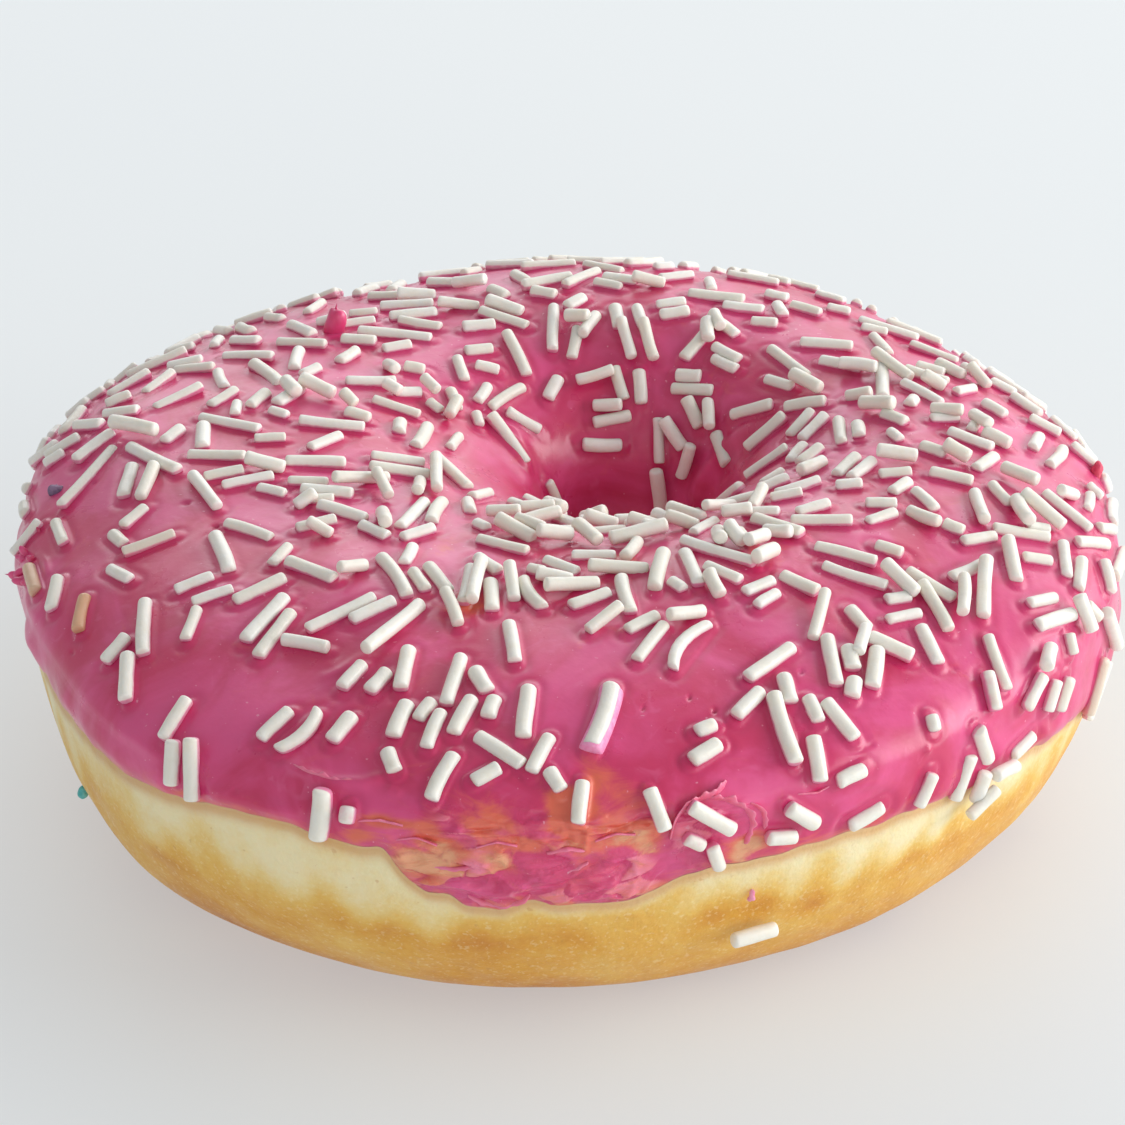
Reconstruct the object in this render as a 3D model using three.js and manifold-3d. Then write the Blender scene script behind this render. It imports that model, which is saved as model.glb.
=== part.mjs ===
// A ring doughnut: one baked ring of dough, a layer of pink icing over its top
// and down into its hole, and sugar sprinkles bedded in the icing.
//
// Millimetres, +Z up. The doughnut rests on z = 0 with its outline centred on
// the origin; -Y is its front and +X is to the right of the front.
//
// Places on the ring are given by two numbers. "Azimuth" goes round the ring:
// 0 at the front, positive to the right. "Girth" goes round the section, from
// 0 at the outer edge of the resting face, by 0.25 at the widest point, 0.5 at
// the crest and 0.75 at the throat of the hole, to 1 at the resting face again.

import * as THREE from 'three';
import { ParametricGeometry } from 'three/addons/geometries/ParametricGeometry.js';
import { mergeVertices } from 'three/addons/utils/BufferGeometryUtils.js';
import Module from 'manifold-3d';

// ---------------------------------------------------------------- dimensions

const RING_RADIUS = 46;          // centre to the widest point
const WIDEST_HEIGHT = 22;        // height of the widest point
const CREST_RADIUS = 26.2;       // centre to the top of the ring
const CREST_HEIGHT = 29.3;       // top of the icing
const THROAT_RADIUS = 6.8;       // narrowest part of the hole
const THROAT_HEIGHT = 15;
const REST_INNER_RADIUS = 20;    // the flat ring that it rests on
const REST_OUTER_RADIUS = 33;

// How full each quarter of the section is: 2 is an ellipse, more is squarer.
const LOWER_OUTER_FULLNESS = 2.1;
const UPPER_OUTER_FULLNESS = 1.8;
const UPPER_INNER_FULLNESS = 2.2;
const LOWER_INNER_FULLNESS = 2.0;

// The ring rose unevenly: its outline is a little oval and a little
// three-cornered, and its hole lies right of and behind the middle.
const OVAL_SWELL = 0.006;
const OVAL_AZIMUTH = degrees(-38);
const CORNER_SWELL = 0.022;
const CORNER_AZIMUTH = degrees(-26);
const HOLE_OFFSET = new THREE.Vector2(5.4, 8.4);

const ICING_THICKNESS = 1.4;
const ICING_LIP_THICKNESS = 0.6;
const LIP_EASE = 0.2;            // how far the lip's outer corner is eased in
const ICING_FADE = 0.05;         // girth over which the icing thickens from its lip
const ICING_SEAT = 0.03;         // girth over which the dough dips under the lip
const GAP = 0.3;                 // clearance between pieces that touch

// Lower edge of the icing as [azimuth in degrees, girth]: it hangs lowest in a
// broad tongue at the front.
const ICING_EDGE = [
  [-160, 0.238], [-130, 0.228], [-100, 0.236], [-75, 0.228], [-50, 0.230],
  [-40, 0.233], [-28, 0.243], [-17, 0.238], [-12, 0.214], [-7, 0.200],
  [1, 0.205], [9, 0.208], [13, 0.218], [25, 0.217], [38, 0.217],
  [52, 0.213], [63, 0.203], [74, 0.190], [88, 0.208], [110, 0.234],
  [140, 0.226], [170, 0.240],
];
const ICING_INNER_EDGE = 0.83;   // girth at which it ends inside the hole
const ICING_INNER_WAVE = 0.012;
const INNER_WAVES = 5;

const SPRINKLE_DIAMETER = 1.35;
const SPRINKLE_BEVEL = 0.24;
const SPRINKLE_TIP = 0.25;       // each end reaches this far past its listed place
const SPRINKLE_RISE = 0.3;       // height of a sprinkle's axis above the icing
const SOCKET_CLEARANCE = 0.15;

// Facets.
const AZIMUTH_STEPS = 48;
const BARE_OUTER_STEPS = 5;
const ICED_STEPS = 16;
const BARE_INNER_STEPS = 2;
const SPRINKLE_SIDES = 8;

// Sprinkles, each from one end to the other:
// [azimuth, girth, azimuth, girth], in degrees and turns round the section.
const SPRINKLES = [
  // left flank
  [-57.1, 0.375, -50.6, 0.348], [-53.8, 0.323, -54.4, 0.347],
  [-51.6, 0.338, -47.6, 0.307], [-41.0, 0.335, -40.5, 0.294],
  [-38.9, 0.292, -38.2, 0.242], [-36.9, 0.303, -35.4, 0.238],
  [-30.0, 0.357, -30.8, 0.330], [-27.2, 0.364, -28.5, 0.326],
  [-23.4, 0.366, -23.9, 0.345], [-26.2, 0.405, -26.5, 0.387],
  [-22.9, 0.404, -23.3, 0.389], [-22.1, 0.424, -20.2, 0.396],
  [-22.1, 0.290, -22.1, 0.237], [-19.5, 0.281, -19.4, 0.262],
  // front, left of the tongue
  [-18.4, 0.383, -18.1, 0.358], [-15.3, 0.425, -14.2, 0.389],
  [-14.3, 0.380, -14.2, 0.352], [-12.7, 0.416, -10.4, 0.402],
  [-11.7, 0.393, -12.1, 0.366], [-9.1, 0.394, -9.1, 0.381],
  [-17.8, 0.343, -16.4, 0.328], [-11.2, 0.347, -12.0, 0.306],
  [-9.3, 0.364, -4.3, 0.342], [-6.6, 0.337, -8.4, 0.325],
  [-5.6, 0.404, -4.7, 0.366], [-2.0, 0.364, -3.1, 0.336],
  [-1.3, 0.335, 0.0, 0.318], [2.1, 0.324, 2.0, 0.280],
  // front, right of the tongue
  [4.1, 0.404, 2.5, 0.356], [8.8, 0.312, 10.2, 0.257],
  [14.1, 0.358, 15.8, 0.361], [13.3, 0.333, 16.0, 0.343],
  [12.9, 0.276, 16.8, 0.241], [12.4, 0.243, 13.8, 0.238],
  [15.0, 0.235, 15.7, 0.222], [21.0, 0.396, 27.6, 0.411],
  [18.7, 0.366, 21.9, 0.381], [23.5, 0.377, 24.1, 0.311],
  [25.4, 0.388, 25.3, 0.367], [27.5, 0.364, 27.8, 0.343],
  [29.4, 0.357, 31.2, 0.316], [26.6, 0.329, 26.4, 0.280],
  [28.6, 0.266, 31.3, 0.272], [20.9, 0.233, 23.5, 0.230],
  [23.0, 0.248, 25.8, 0.235], [30.1, 0.226, 33.5, 0.231],
  // right flank
  [33.0, 0.409, 31.4, 0.370], [35.0, 0.394, 34.4, 0.378],
  [33.8, 0.366, 32.8, 0.355], [38.4, 0.384, 35.6, 0.357],
  [38.8, 0.396, 42.2, 0.368], [50.0, 0.319, 49.2, 0.274],
  [40.9, 0.303, 40.8, 0.288], [57.0, 0.267, 54.2, 0.244],
  [55.6, 0.224, 52.6, 0.220], [46.4, 0.251, 48.1, 0.229],
  [45.4, 0.237, 43.8, 0.214],
  // one that landed on the bare dough
  [17.6, 0.163, 22.4, 0.158],
];

// ----------------------------------------------------------------- materials

const DOUGH_MATERIAL = new THREE.MeshStandardMaterial({ color: 0xdfb066, roughness: 0.75, metalness: 0 });
const ICING_MATERIAL = new THREE.MeshStandardMaterial({ color: 0xc9487f, roughness: 0.28, metalness: 0 });
const SPRINKLE_MATERIAL = new THREE.MeshStandardMaterial({ color: 0xf1ede2, roughness: 0.5, metalness: 0 });

// -------------------------------------------------------------- ring surface

function degrees(angle) {
  return THREE.MathUtils.degToRad(angle);
}

// |value| raised for a superellipse of the given fullness, keeping the sign.
function full(value, fullness) {
  return Math.sign(value) * Math.abs(value) ** (2 / fullness);
}

// Radius and height of the section's outline at a girth.
function outline(girth) {
  const quarter = Math.min(Math.floor(girth * 4), 3);
  const turn = (girth * 4 - quarter) * Math.PI / 2;
  const sine = Math.sin(turn);
  const cosine = Math.cos(turn);
  let radius;
  let height;
  if (quarter === 0) {
    radius = REST_OUTER_RADIUS + (RING_RADIUS - REST_OUTER_RADIUS) * full(sine, LOWER_OUTER_FULLNESS);
    height = WIDEST_HEIGHT * (1 - full(cosine, LOWER_OUTER_FULLNESS));
  } else if (quarter === 1) {
    radius = CREST_RADIUS + (RING_RADIUS - CREST_RADIUS) * full(cosine, UPPER_OUTER_FULLNESS);
    height = WIDEST_HEIGHT + (CREST_HEIGHT - WIDEST_HEIGHT) * full(sine, UPPER_OUTER_FULLNESS);
  } else if (quarter === 2) {
    radius = CREST_RADIUS - (CREST_RADIUS - THROAT_RADIUS) * full(sine, UPPER_INNER_FULLNESS);
    height = THROAT_HEIGHT + (CREST_HEIGHT - THROAT_HEIGHT) * full(cosine, UPPER_INNER_FULLNESS);
  } else {
    radius = REST_INNER_RADIUS - (REST_INNER_RADIUS - THROAT_RADIUS) * full(cosine, LOWER_INNER_FULLNESS);
    height = THROAT_HEIGHT * (1 - full(sine, LOWER_INNER_FULLNESS));
  }
  return new THREE.Vector2(radius, height);
}

// The outline's outward direction at a girth.
function outward(girth) {
  const step = 0.002;
  const from = outline(Math.max(girth - step, 0));
  const to = outline(Math.min(girth + step, 1));
  const along = to.sub(from).normalize();
  return new THREE.Vector2(along.y, -along.x);
}

function swell(azimuth) {
  return 1 + OVAL_SWELL * Math.cos(2 * (azimuth - OVAL_AZIMUTH))
    + CORNER_SWELL * Math.cos(3 * (azimuth - CORNER_AZIMUTH));
}

// The uneven outline's middle, which is moved back to the origin.
const OUTLINE_MIDDLE = new THREE.Vector2(
  RING_RADIUS * (swell(Math.PI / 2) - swell(-Math.PI / 2)) / 2,
  RING_RADIUS * (swell(Math.PI) - swell(0)) / 2,
);

// A point of the ring from its azimuth and its radius and height in the section.
function ringPoint(azimuth, section) {
  const outerShare = THREE.MathUtils.clamp((section.x - THROAT_RADIUS) / (RING_RADIUS - THROAT_RADIUS), 0, 1);
  const radius = section.x * (1 + (swell(azimuth) - 1) * outerShare);
  const offset = HOLE_OFFSET.clone().multiplyScalar(1 - outerShare)
    .addScaledVector(OUTLINE_MIDDLE, -outerShare);
  return new THREE.Vector3(
    radius * Math.sin(azimuth) + offset.x,
    -radius * Math.cos(azimuth) + offset.y,
    section.y,
  );
}

// A point of the ring at a depth below the outline.
function surfacePoint(azimuth, girth, depth = 0) {
  return ringPoint(azimuth, outline(girth).addScaledVector(outward(girth), -depth));
}

// --------------------------------------------------------------------- icing

// Girth of the icing's lower edge, running smoothly through ICING_EDGE.
function icingEdge(azimuth) {
  const angle = THREE.MathUtils.radToDeg(azimuth);
  const count = ICING_EDGE.length;
  let next = ICING_EDGE.findIndex(([at]) => at > angle);
  if (next < 0) next = count;
  const [fromAngle, fromGirth] = next > 0 ? ICING_EDGE[next - 1] : ICING_EDGE[count - 1];
  const [toAngle, toGirth] = ICING_EDGE[next % count];
  const span = (toAngle - fromAngle + 360) % 360;
  const share = ((angle - fromAngle + 360) % 360) / span;
  return THREE.MathUtils.lerp(fromGirth, toGirth, THREE.MathUtils.smoothstep(share, 0, 1));
}

function icingInnerEdge(azimuth) {
  return ICING_INNER_EDGE + ICING_INNER_WAVE * Math.sin(INNER_WAVES * azimuth);
}

// Girth between a place and the nearer edge of the icing: negative off the icing.
function insideIcing(azimuth, girth) {
  return Math.min(girth - icingEdge(azimuth), icingInnerEdge(azimuth) - girth);
}

function icingThickness(inside) {
  const share = THREE.MathUtils.smoothstep(inside, 0, ICING_FADE);
  return THREE.MathUtils.lerp(ICING_LIP_THICKNESS, ICING_THICKNESS, share);
}

// How far the dough lies below the outline: under the icing, and a short dip
// beside its lip.
function doughDepth(azimuth, girth) {
  const inside = insideIcing(azimuth, girth);
  if (inside >= 0) return icingThickness(inside) + GAP;
  return (ICING_LIP_THICKNESS + GAP) * THREE.MathUtils.smoothstep(inside, -ICING_SEAT, 0);
}

// ---------------------------------------------------------------- geometries

// Keeps only positions and joins the seams, so that the surface is closed.
function closeSurface(geometry) {
  geometry.deleteAttribute('normal');
  geometry.deleteAttribute('uv');
  return mergeVertices(geometry, 1e-3);
}

// A closed solid swept round the ring. section(azimuth, index) gives the points
// of its closed section in turn, anticlockwise from the outside.
function sweptRing(pointCount, section) {
  const place = (u, v, target) => {
    const azimuth = (u * 2 - 1) * Math.PI;
    target.copy(section(azimuth, Math.round(v * pointCount) % pointCount));
  };
  return closeSurface(new ParametricGeometry(place, AZIMUTH_STEPS, pointCount));
}

// Evenly spaced numbers from one to another, both included.
function evenly(from, to, steps) {
  return Array.from({ length: steps + 1 }, (_, step) => THREE.MathUtils.lerp(from, to, step / steps));
}

// Girths of the dough's section points: under the icing they match the points of
// the icing's inner face, so that the two faces stay parallel.
function doughGirths(azimuth) {
  const low = icingEdge(azimuth);
  const high = icingInnerEdge(azimuth);
  return [
    ...evenly(0, low - ICING_SEAT, BARE_OUTER_STEPS),
    ...evenly(low, high, ICED_STEPS),
    ...evenly(high + ICING_SEAT, 1, BARE_INNER_STEPS),
  ];
}

// The ring of dough. Its last section point is joined to its first by the flat
// face that it rests on.
function doughGeometry() {
  return sweptRing(doughGirths(0).length, (azimuth, index) => {
    const girth = doughGirths(azimuth)[index];
    return surfacePoint(azimuth, girth, doughDepth(azimuth, girth));
  });
}

// The shell of icing: up its outer face from the lower edge and into the hole,
// then back along its inner face. The outer corner of each lip is eased.
function icingGeometry() {
  const pointCount = 2 * (ICED_STEPS + 1);
  return sweptRing(pointCount, (azimuth, index) => {
    const outer = index <= ICED_STEPS;
    const share = (outer ? index : pointCount - 1 - index) / ICED_STEPS;
    const girth = THREE.MathUtils.lerp(icingEdge(azimuth), icingInnerEdge(azimuth), share);
    const lip = share === 0 || share === 1;
    const outerDepth = lip ? LIP_EASE : 0;
    return surfacePoint(azimuth, girth, outer ? outerDepth : icingThickness(insideIcing(azimuth, girth)));
  });
}

// A sugar rod along Y with bevelled ends, grown all round by a clearance.
function sprinkleGeometry(length, clearance = 0) {
  const radius = SPRINKLE_DIAMETER / 2 + clearance;
  const half = length / 2 + clearance;
  const profile = [
    [0, -half],
    [radius - SPRINKLE_BEVEL, -half],
    [radius, -half + SPRINKLE_BEVEL],
    [radius, half - SPRINKLE_BEVEL],
    [radius - SPRINKLE_BEVEL, half],
    [0, half],
  ].map(([x, y]) => new THREE.Vector2(x, y));
  return closeSurface(new THREE.LatheGeometry(profile, SPRINKLE_SIDES));
}

// Where a sprinkle lies: its axis runs from end to end at a height above the
// ring's outline, half sunk in the icing or resting on the bare dough.
function layOut([azimuthA, girthA, azimuthB, girthB]) {
  const azimuth = degrees((azimuthA + azimuthB) / 2);
  const girth = (girthA + girthB) / 2;
  const onIcing = insideIcing(azimuth, girth) > 0;
  const rise = onIcing ? SPRINKLE_RISE : SPRINKLE_DIAMETER / 2 + SOCKET_CLEARANCE;
  const along = surfacePoint(degrees(azimuthB), girthB).sub(surfacePoint(degrees(azimuthA), girthA));
  return {
    onIcing,
    length: along.length() + 2 * SPRINKLE_TIP,
    middle: surfacePoint(azimuth, girth, -rise),
    turn: new THREE.Quaternion().setFromUnitVectors(new THREE.Vector3(0, 1, 0), along.normalize()),
  };
}

// ------------------------------------------------------------ cuts and joins

const wasm = await Module();
wasm.setup();

function solidOf(geometry) {
  const vertProperties = Float32Array.from(geometry.attributes.position.array);
  const triVerts = Uint32Array.from(geometry.index.array);
  return new wasm.Manifold(new wasm.Mesh({ numProp: 3, vertProperties, triVerts }));
}

function geometryOf(solid) {
  const { vertProperties, triVerts } = solid.getMesh();
  const geometry = new THREE.BufferGeometry();
  geometry.setAttribute('position', new THREE.BufferAttribute(vertProperties, 3));
  geometry.setIndex(new THREE.BufferAttribute(triVerts, 1));
  return geometry;
}

// The icing with a socket pressed into it under every sprinkle that it holds.
function socketedIcing(places) {
  let icing = solidOf(icingGeometry());
  for (const { onIcing, length, middle, turn } of places) {
    if (!onIcing) continue;
    const socket = sprinkleGeometry(length, SOCKET_CLEARANCE);
    socket.applyQuaternion(turn).translate(middle.x, middle.y, middle.z);
    icing = icing.subtract(solidOf(socket));
  }
  return geometryOf(icing);
}

// ------------------------------------------------------------------ assembly

function piece(name, geometry, material) {
  geometry.computeVertexNormals();
  const mesh = new THREE.Mesh(geometry, material);
  mesh.name = name;
  return mesh;
}

const places = SPRINKLES.map(layOut);
const doughnut = new THREE.Group();
doughnut.add(piece('dough', doughGeometry(), DOUGH_MATERIAL));
doughnut.add(piece('icing', socketedIcing(places), ICING_MATERIAL));

places.forEach(({ length, middle, turn }, index) => {
  const name = `sprinkle_${String(index + 1).padStart(2, '0')}`;
  const sprinkle = piece(name, sprinkleGeometry(length), SPRINKLE_MATERIAL);
  sprinkle.position.copy(middle);
  sprinkle.quaternion.copy(turn);
  doughnut.add(sprinkle);
});

export default doughnut;
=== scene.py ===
"""An iced ring doughnut with sugar sprinkles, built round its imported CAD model.

Shapes are worked out in millimetres and turned into metres as meshes are made.
Places on the ring are an azimuth in degrees, 0 at the front (-Y) and positive to
the right (+X), and a girth, which goes round the section from 0 at the outer edge
of the resting face, by 0.25 at the widest point, 0.5 at the crest and 0.75 at the
throat of the hole, to 1 at the resting face again.
"""
import math

import bpy
import numpy as np
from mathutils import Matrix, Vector


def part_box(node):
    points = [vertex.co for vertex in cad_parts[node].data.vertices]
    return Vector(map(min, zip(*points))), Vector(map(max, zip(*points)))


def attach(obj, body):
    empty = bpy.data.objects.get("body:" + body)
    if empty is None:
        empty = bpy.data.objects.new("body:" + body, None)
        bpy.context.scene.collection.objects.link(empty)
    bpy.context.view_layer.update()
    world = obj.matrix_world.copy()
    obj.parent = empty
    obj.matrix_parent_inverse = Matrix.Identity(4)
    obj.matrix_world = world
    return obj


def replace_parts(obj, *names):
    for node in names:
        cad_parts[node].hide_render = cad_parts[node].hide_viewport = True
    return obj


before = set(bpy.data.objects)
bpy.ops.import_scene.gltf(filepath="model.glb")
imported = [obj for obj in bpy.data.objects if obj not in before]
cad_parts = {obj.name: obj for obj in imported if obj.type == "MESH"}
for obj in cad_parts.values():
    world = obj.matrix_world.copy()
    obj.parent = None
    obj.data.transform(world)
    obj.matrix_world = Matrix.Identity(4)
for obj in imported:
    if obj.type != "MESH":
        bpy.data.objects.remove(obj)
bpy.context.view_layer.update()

MM = 0.001

# ------------------------------------------------------------ the ring

RING_RADIUS = 46.0
CREST_RADIUS = 26.2
THROAT_RADIUS = 6.8
REST_INNER_RADIUS = 20.0
REST_OUTER_RADIUS = 33.0
WIDEST_HEIGHT = 22.0
CREST_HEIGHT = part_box("icing")[1].z / MM
THROAT_HEIGHT = 15.0
LOWER_OUTER_FULLNESS = 2.1
UPPER_OUTER_FULLNESS = 1.8
UPPER_INNER_FULLNESS = 2.2
LOWER_INNER_FULLNESS = 2.0
OVAL_SWELL, OVAL_AZIMUTH = 0.006, -38.0
CORNER_SWELL, CORNER_AZIMUTH = 0.022, -26.0
HOLE_OFFSET = (5.4, 8.4)
GIRTH_LENGTH = 100.0        # millimetres round the section for each 1 of girth

# The outline is eased over this much girth where its quarters meet at the widest point.
WIDEST_GIRTH = 0.25
EASE_REACH = 0.024
EASE_SPAN = 0.06
EASE_TAPS = np.linspace(-1.0, 1.0, 9)
EASE_WEIGHTS = np.cos(EASE_TAPS * math.pi / 2.2) ** 2
EASE_WEIGHTS /= EASE_WEIGHTS.sum()


def smooth(value, low=0.0, high=1.0):
    """0 below low, 1 above high and a smooth step between."""
    share = np.clip((value - low) / (high - low), 0.0, 1.0)
    return share * share * (3.0 - 2.0 * share)


def bell(value, width=1.0):
    """1 at 0, falling away on both sides over about the width."""
    return np.exp(-((value / width) ** 2))


def full(value, fullness):
    return np.abs(value) ** (2.0 / fullness)


def plain_outline(girth):
    """Radius and height of the section's outline, in four superelliptic quarters."""
    girth = np.clip(girth, 0.0, 1.0)
    quarter = np.minimum(np.floor(girth * 4.0), 3.0)
    turn = (girth * 4.0 - quarter) * math.pi / 2.0
    s, c = np.sin(turn), np.abs(np.cos(turn))
    quarters = [quarter == 0, quarter == 1, quarter == 2]
    radius = np.select(quarters, [
        REST_OUTER_RADIUS + (RING_RADIUS - REST_OUTER_RADIUS) * full(s, LOWER_OUTER_FULLNESS),
        CREST_RADIUS + (RING_RADIUS - CREST_RADIUS) * full(c, UPPER_OUTER_FULLNESS),
        CREST_RADIUS - (CREST_RADIUS - THROAT_RADIUS) * full(s, UPPER_INNER_FULLNESS),
    ], REST_INNER_RADIUS - (REST_INNER_RADIUS - THROAT_RADIUS) * full(c, LOWER_INNER_FULLNESS))
    height = np.select(quarters, [
        WIDEST_HEIGHT * (1.0 - full(c, LOWER_OUTER_FULLNESS)),
        WIDEST_HEIGHT + (CREST_HEIGHT - WIDEST_HEIGHT) * full(s, UPPER_OUTER_FULLNESS),
        THROAT_HEIGHT + (CREST_HEIGHT - THROAT_HEIGHT) * full(c, UPPER_INNER_FULLNESS),
    ], THROAT_HEIGHT * (1.0 - full(s, LOWER_INNER_FULLNESS)))
    return radius, height


def outline(girth):
    """Radius and height of the section's outline, eased where its quarters meet at the widest point."""
    radius, height = (np.array(part) for part in plain_outline(girth))
    near_widest = np.abs(girth - WIDEST_GIRTH) < 2.5 * EASE_SPAN
    if near_widest.any():
        there = np.asarray(girth)[near_widest]
        reach = EASE_REACH * np.exp(-(((there - WIDEST_GIRTH) / EASE_SPAN) ** 2))
        eased = [plain_outline(there + tap * reach) for tap in EASE_TAPS]
        radius[near_widest] = sum(w * r for w, (r, _) in zip(EASE_WEIGHTS, eased))
        height[near_widest] = sum(w * h for w, (_, h) in zip(EASE_WEIGHTS, eased))
    return radius, height


def swell(azimuth):
    """How far the ring's outline swells at an azimuth."""
    oval = OVAL_SWELL * np.cos(2.0 * np.radians(azimuth - OVAL_AZIMUTH))
    return 1.0 + oval + CORNER_SWELL * np.cos(3.0 * np.radians(azimuth - CORNER_AZIMUTH))


OUTLINE_MIDDLE = (
    RING_RADIUS * (swell(90.0) - swell(-90.0)) / 2.0,
    RING_RADIUS * (swell(180.0) - swell(0.0)) / 2.0,
)


def ring_point(azimuth, girth):
    """Points of the ring's outline, in millimetres."""
    azimuth, girth = np.broadcast_arrays(np.asarray(azimuth, float), np.asarray(girth, float))
    radius, height = outline(girth)
    share = np.clip((radius - THROAT_RADIUS) / (RING_RADIUS - THROAT_RADIUS), 0.0, 1.0)
    reach = radius * (1.0 + (swell(azimuth) - 1.0) * share)
    angle = np.radians(azimuth)
    x = reach * np.sin(angle) + HOLE_OFFSET[0] * (1.0 - share) - OUTLINE_MIDDLE[0] * share
    y = -reach * np.cos(angle) + HOLE_OFFSET[1] * (1.0 - share) - OUTLINE_MIDDLE[1] * share
    return np.stack([x, y, height], -1)


def path_points(path):
    """Points of the outline at a list of azimuths and girths."""
    return ring_point(*np.array(path, float).T)


def unit(vectors):
    return vectors / np.maximum(np.linalg.norm(vectors, axis=-1, keepdims=True), 1e-9)


NORMAL_STEPS = (0.2, 0.003)      # in azimuth and girth, to either side of the place


def ring_normal(azimuth, girth):
    """Outward directions of the ring's outline."""
    low, high = (np.clip(girth + step, 0.0, 1.0) for step in (-NORMAL_STEPS[1], NORMAL_STEPS[1]))
    round_ring = ring_point(azimuth + NORMAL_STEPS[0], girth) - ring_point(azimuth - NORMAL_STEPS[0], girth)
    up_section = ring_point(azimuth, high) - ring_point(azimuth, low)
    return unit(np.cross(round_ring, up_section))


# Places where the real ring lies inside its outline, or outside it where the depth is less
# than 0: azimuth, girth, depth and reach in millimetres.
TUCKS = [
    (-72.0, 0.23, 0.85, 14.0), (-146.0, 0.43, 1.50, 19.0), (-105.0, 0.36, -0.85, 9.0),
    (118.0, 0.40, 0.60, 16.0), (-51.0, 0.15, -0.85, 12.0),
]


def tuck(points):
    """How far the real ring lies inside its outline."""
    total = np.zeros(points.shape[:-1])
    for azimuth, girth, depth, reach in TUCKS:
        total += depth * np.exp(-((points - ring_point(azimuth, girth)) ** 2).sum(-1) / reach ** 2)
    return total


# ------------------------------------------------------------ unevenness


def waves(seed, size, count=14, stretch=(1.0, 1.0, 1.0)):
    """A smooth random function of place, about -1.5 to 1.5, with bumps of about that size."""
    random = np.random.default_rng(seed)
    direction = unit(random.normal(size=(count, 3)))
    pace = 2.0 * math.pi / size * random.uniform(0.55, 1.5, (count, 1))
    vectors = direction * pace / np.array(stretch)
    phase = random.uniform(0.0, 2.0 * math.pi, count)

    def value(points):
        total = np.zeros(points.shape[:-1])
        for vector, start in zip(vectors, phase):
            total += np.sin(points @ vector + start)
        return total * math.sqrt(2.0 / count) * 0.75

    return value


slow_wave = waves(1, 34.0)
mid_wave = waves(2, 13.0)
quick_wave = waves(3, 5.2)
edge_wave = waves(4, 9.0)
edge_ripple = waves(5, 3.2)
bead_wave = waves(6, 7.0)
dough_wave = waves(7, 15.0)
dough_ripple = waves(8, 4.5)
ruffle_wave = waves(9, 3.8, stretch=(1.8, 1.8, 0.62))
ruffle_ripple = waves(10, 2.0, stretch=(1.5, 1.5, 0.8))
thin_wave = waves(11, 3.4, stretch=(1.4, 1.4, 0.7))
base_wave = waves(12, 6.0)
flake_wave = waves(13, 1.7, stretch=(1.5, 1.5, 0.7))


def icing_wobble(points):
    """Height of the icing's unevenness over the ring's outline."""
    uneven = 0.20 * slow_wave(points) + 0.11 * mid_wave(points) + 0.012 * quick_wave(points)
    return 0.10 + uneven - tuck(points)


# ------------------------------------------------------------ the icing's edge

# Girth of the icing's lower edge at azimuths round the ring.
ICING_EDGE = [
    (-160, 0.238), (-130, 0.228), (-100, 0.236), (-75, 0.228), (-50, 0.230), (-40, 0.233), (-28, 0.243),
    (-17, 0.238), (-12, 0.214), (-7, 0.200), (1, 0.205), (9, 0.208), (13, 0.218), (25, 0.217), (38, 0.217),
    (52, 0.213), (63, 0.203), (74, 0.190), (88, 0.208), (110, 0.234), (140, 0.226), (170, 0.240),
]
EDGE_WAVE, EDGE_RIPPLE = 0.0012, 0.0009
ICING_INNER_EDGE = 0.83
ICING_INNER_WAVE = 0.012
INNER_WAVES = 5
TONGUE = (-19.0, -13.0, 7.0, 12.0)     # azimuths between which the torn tongue fades in and out


def tongue(azimuth):
    return smooth(azimuth, TONGUE[0], TONGUE[1]) * (1.0 - smooth(azimuth, TONGUE[2], TONGUE[3]))


def icing_edge(azimuth):
    """Girth of the icing's lower edge."""
    azimuth = (np.asarray(azimuth, float) + 180.0) % 360.0 - 180.0
    at, girth = np.array(ICING_EDGE, float).T
    at = np.concatenate([[at[-1] - 360.0], at, [at[0] + 360.0]])
    girth = np.concatenate([[girth[-1]], girth, [girth[0]]])
    after = np.clip(np.searchsorted(at, azimuth, side="right"), 1, len(at) - 1)
    share = smooth((azimuth - at[after - 1]) / (at[after] - at[after - 1]))
    edge = girth[after - 1] + (girth[after] - girth[after - 1]) * share
    place = ring_point(azimuth, edge)
    ragged = EDGE_WAVE * edge_wave(place) + EDGE_RIPPLE * edge_ripple(place)
    return edge + ragged * (1.0 + 0.8 * tongue(azimuth))


def icing_inner_edge(azimuth):
    return ICING_INNER_EDGE + ICING_INNER_WAVE * np.sin(INNER_WAVES * np.radians(azimuth))


# ------------------------------------------------------------ sprinkles

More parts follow.
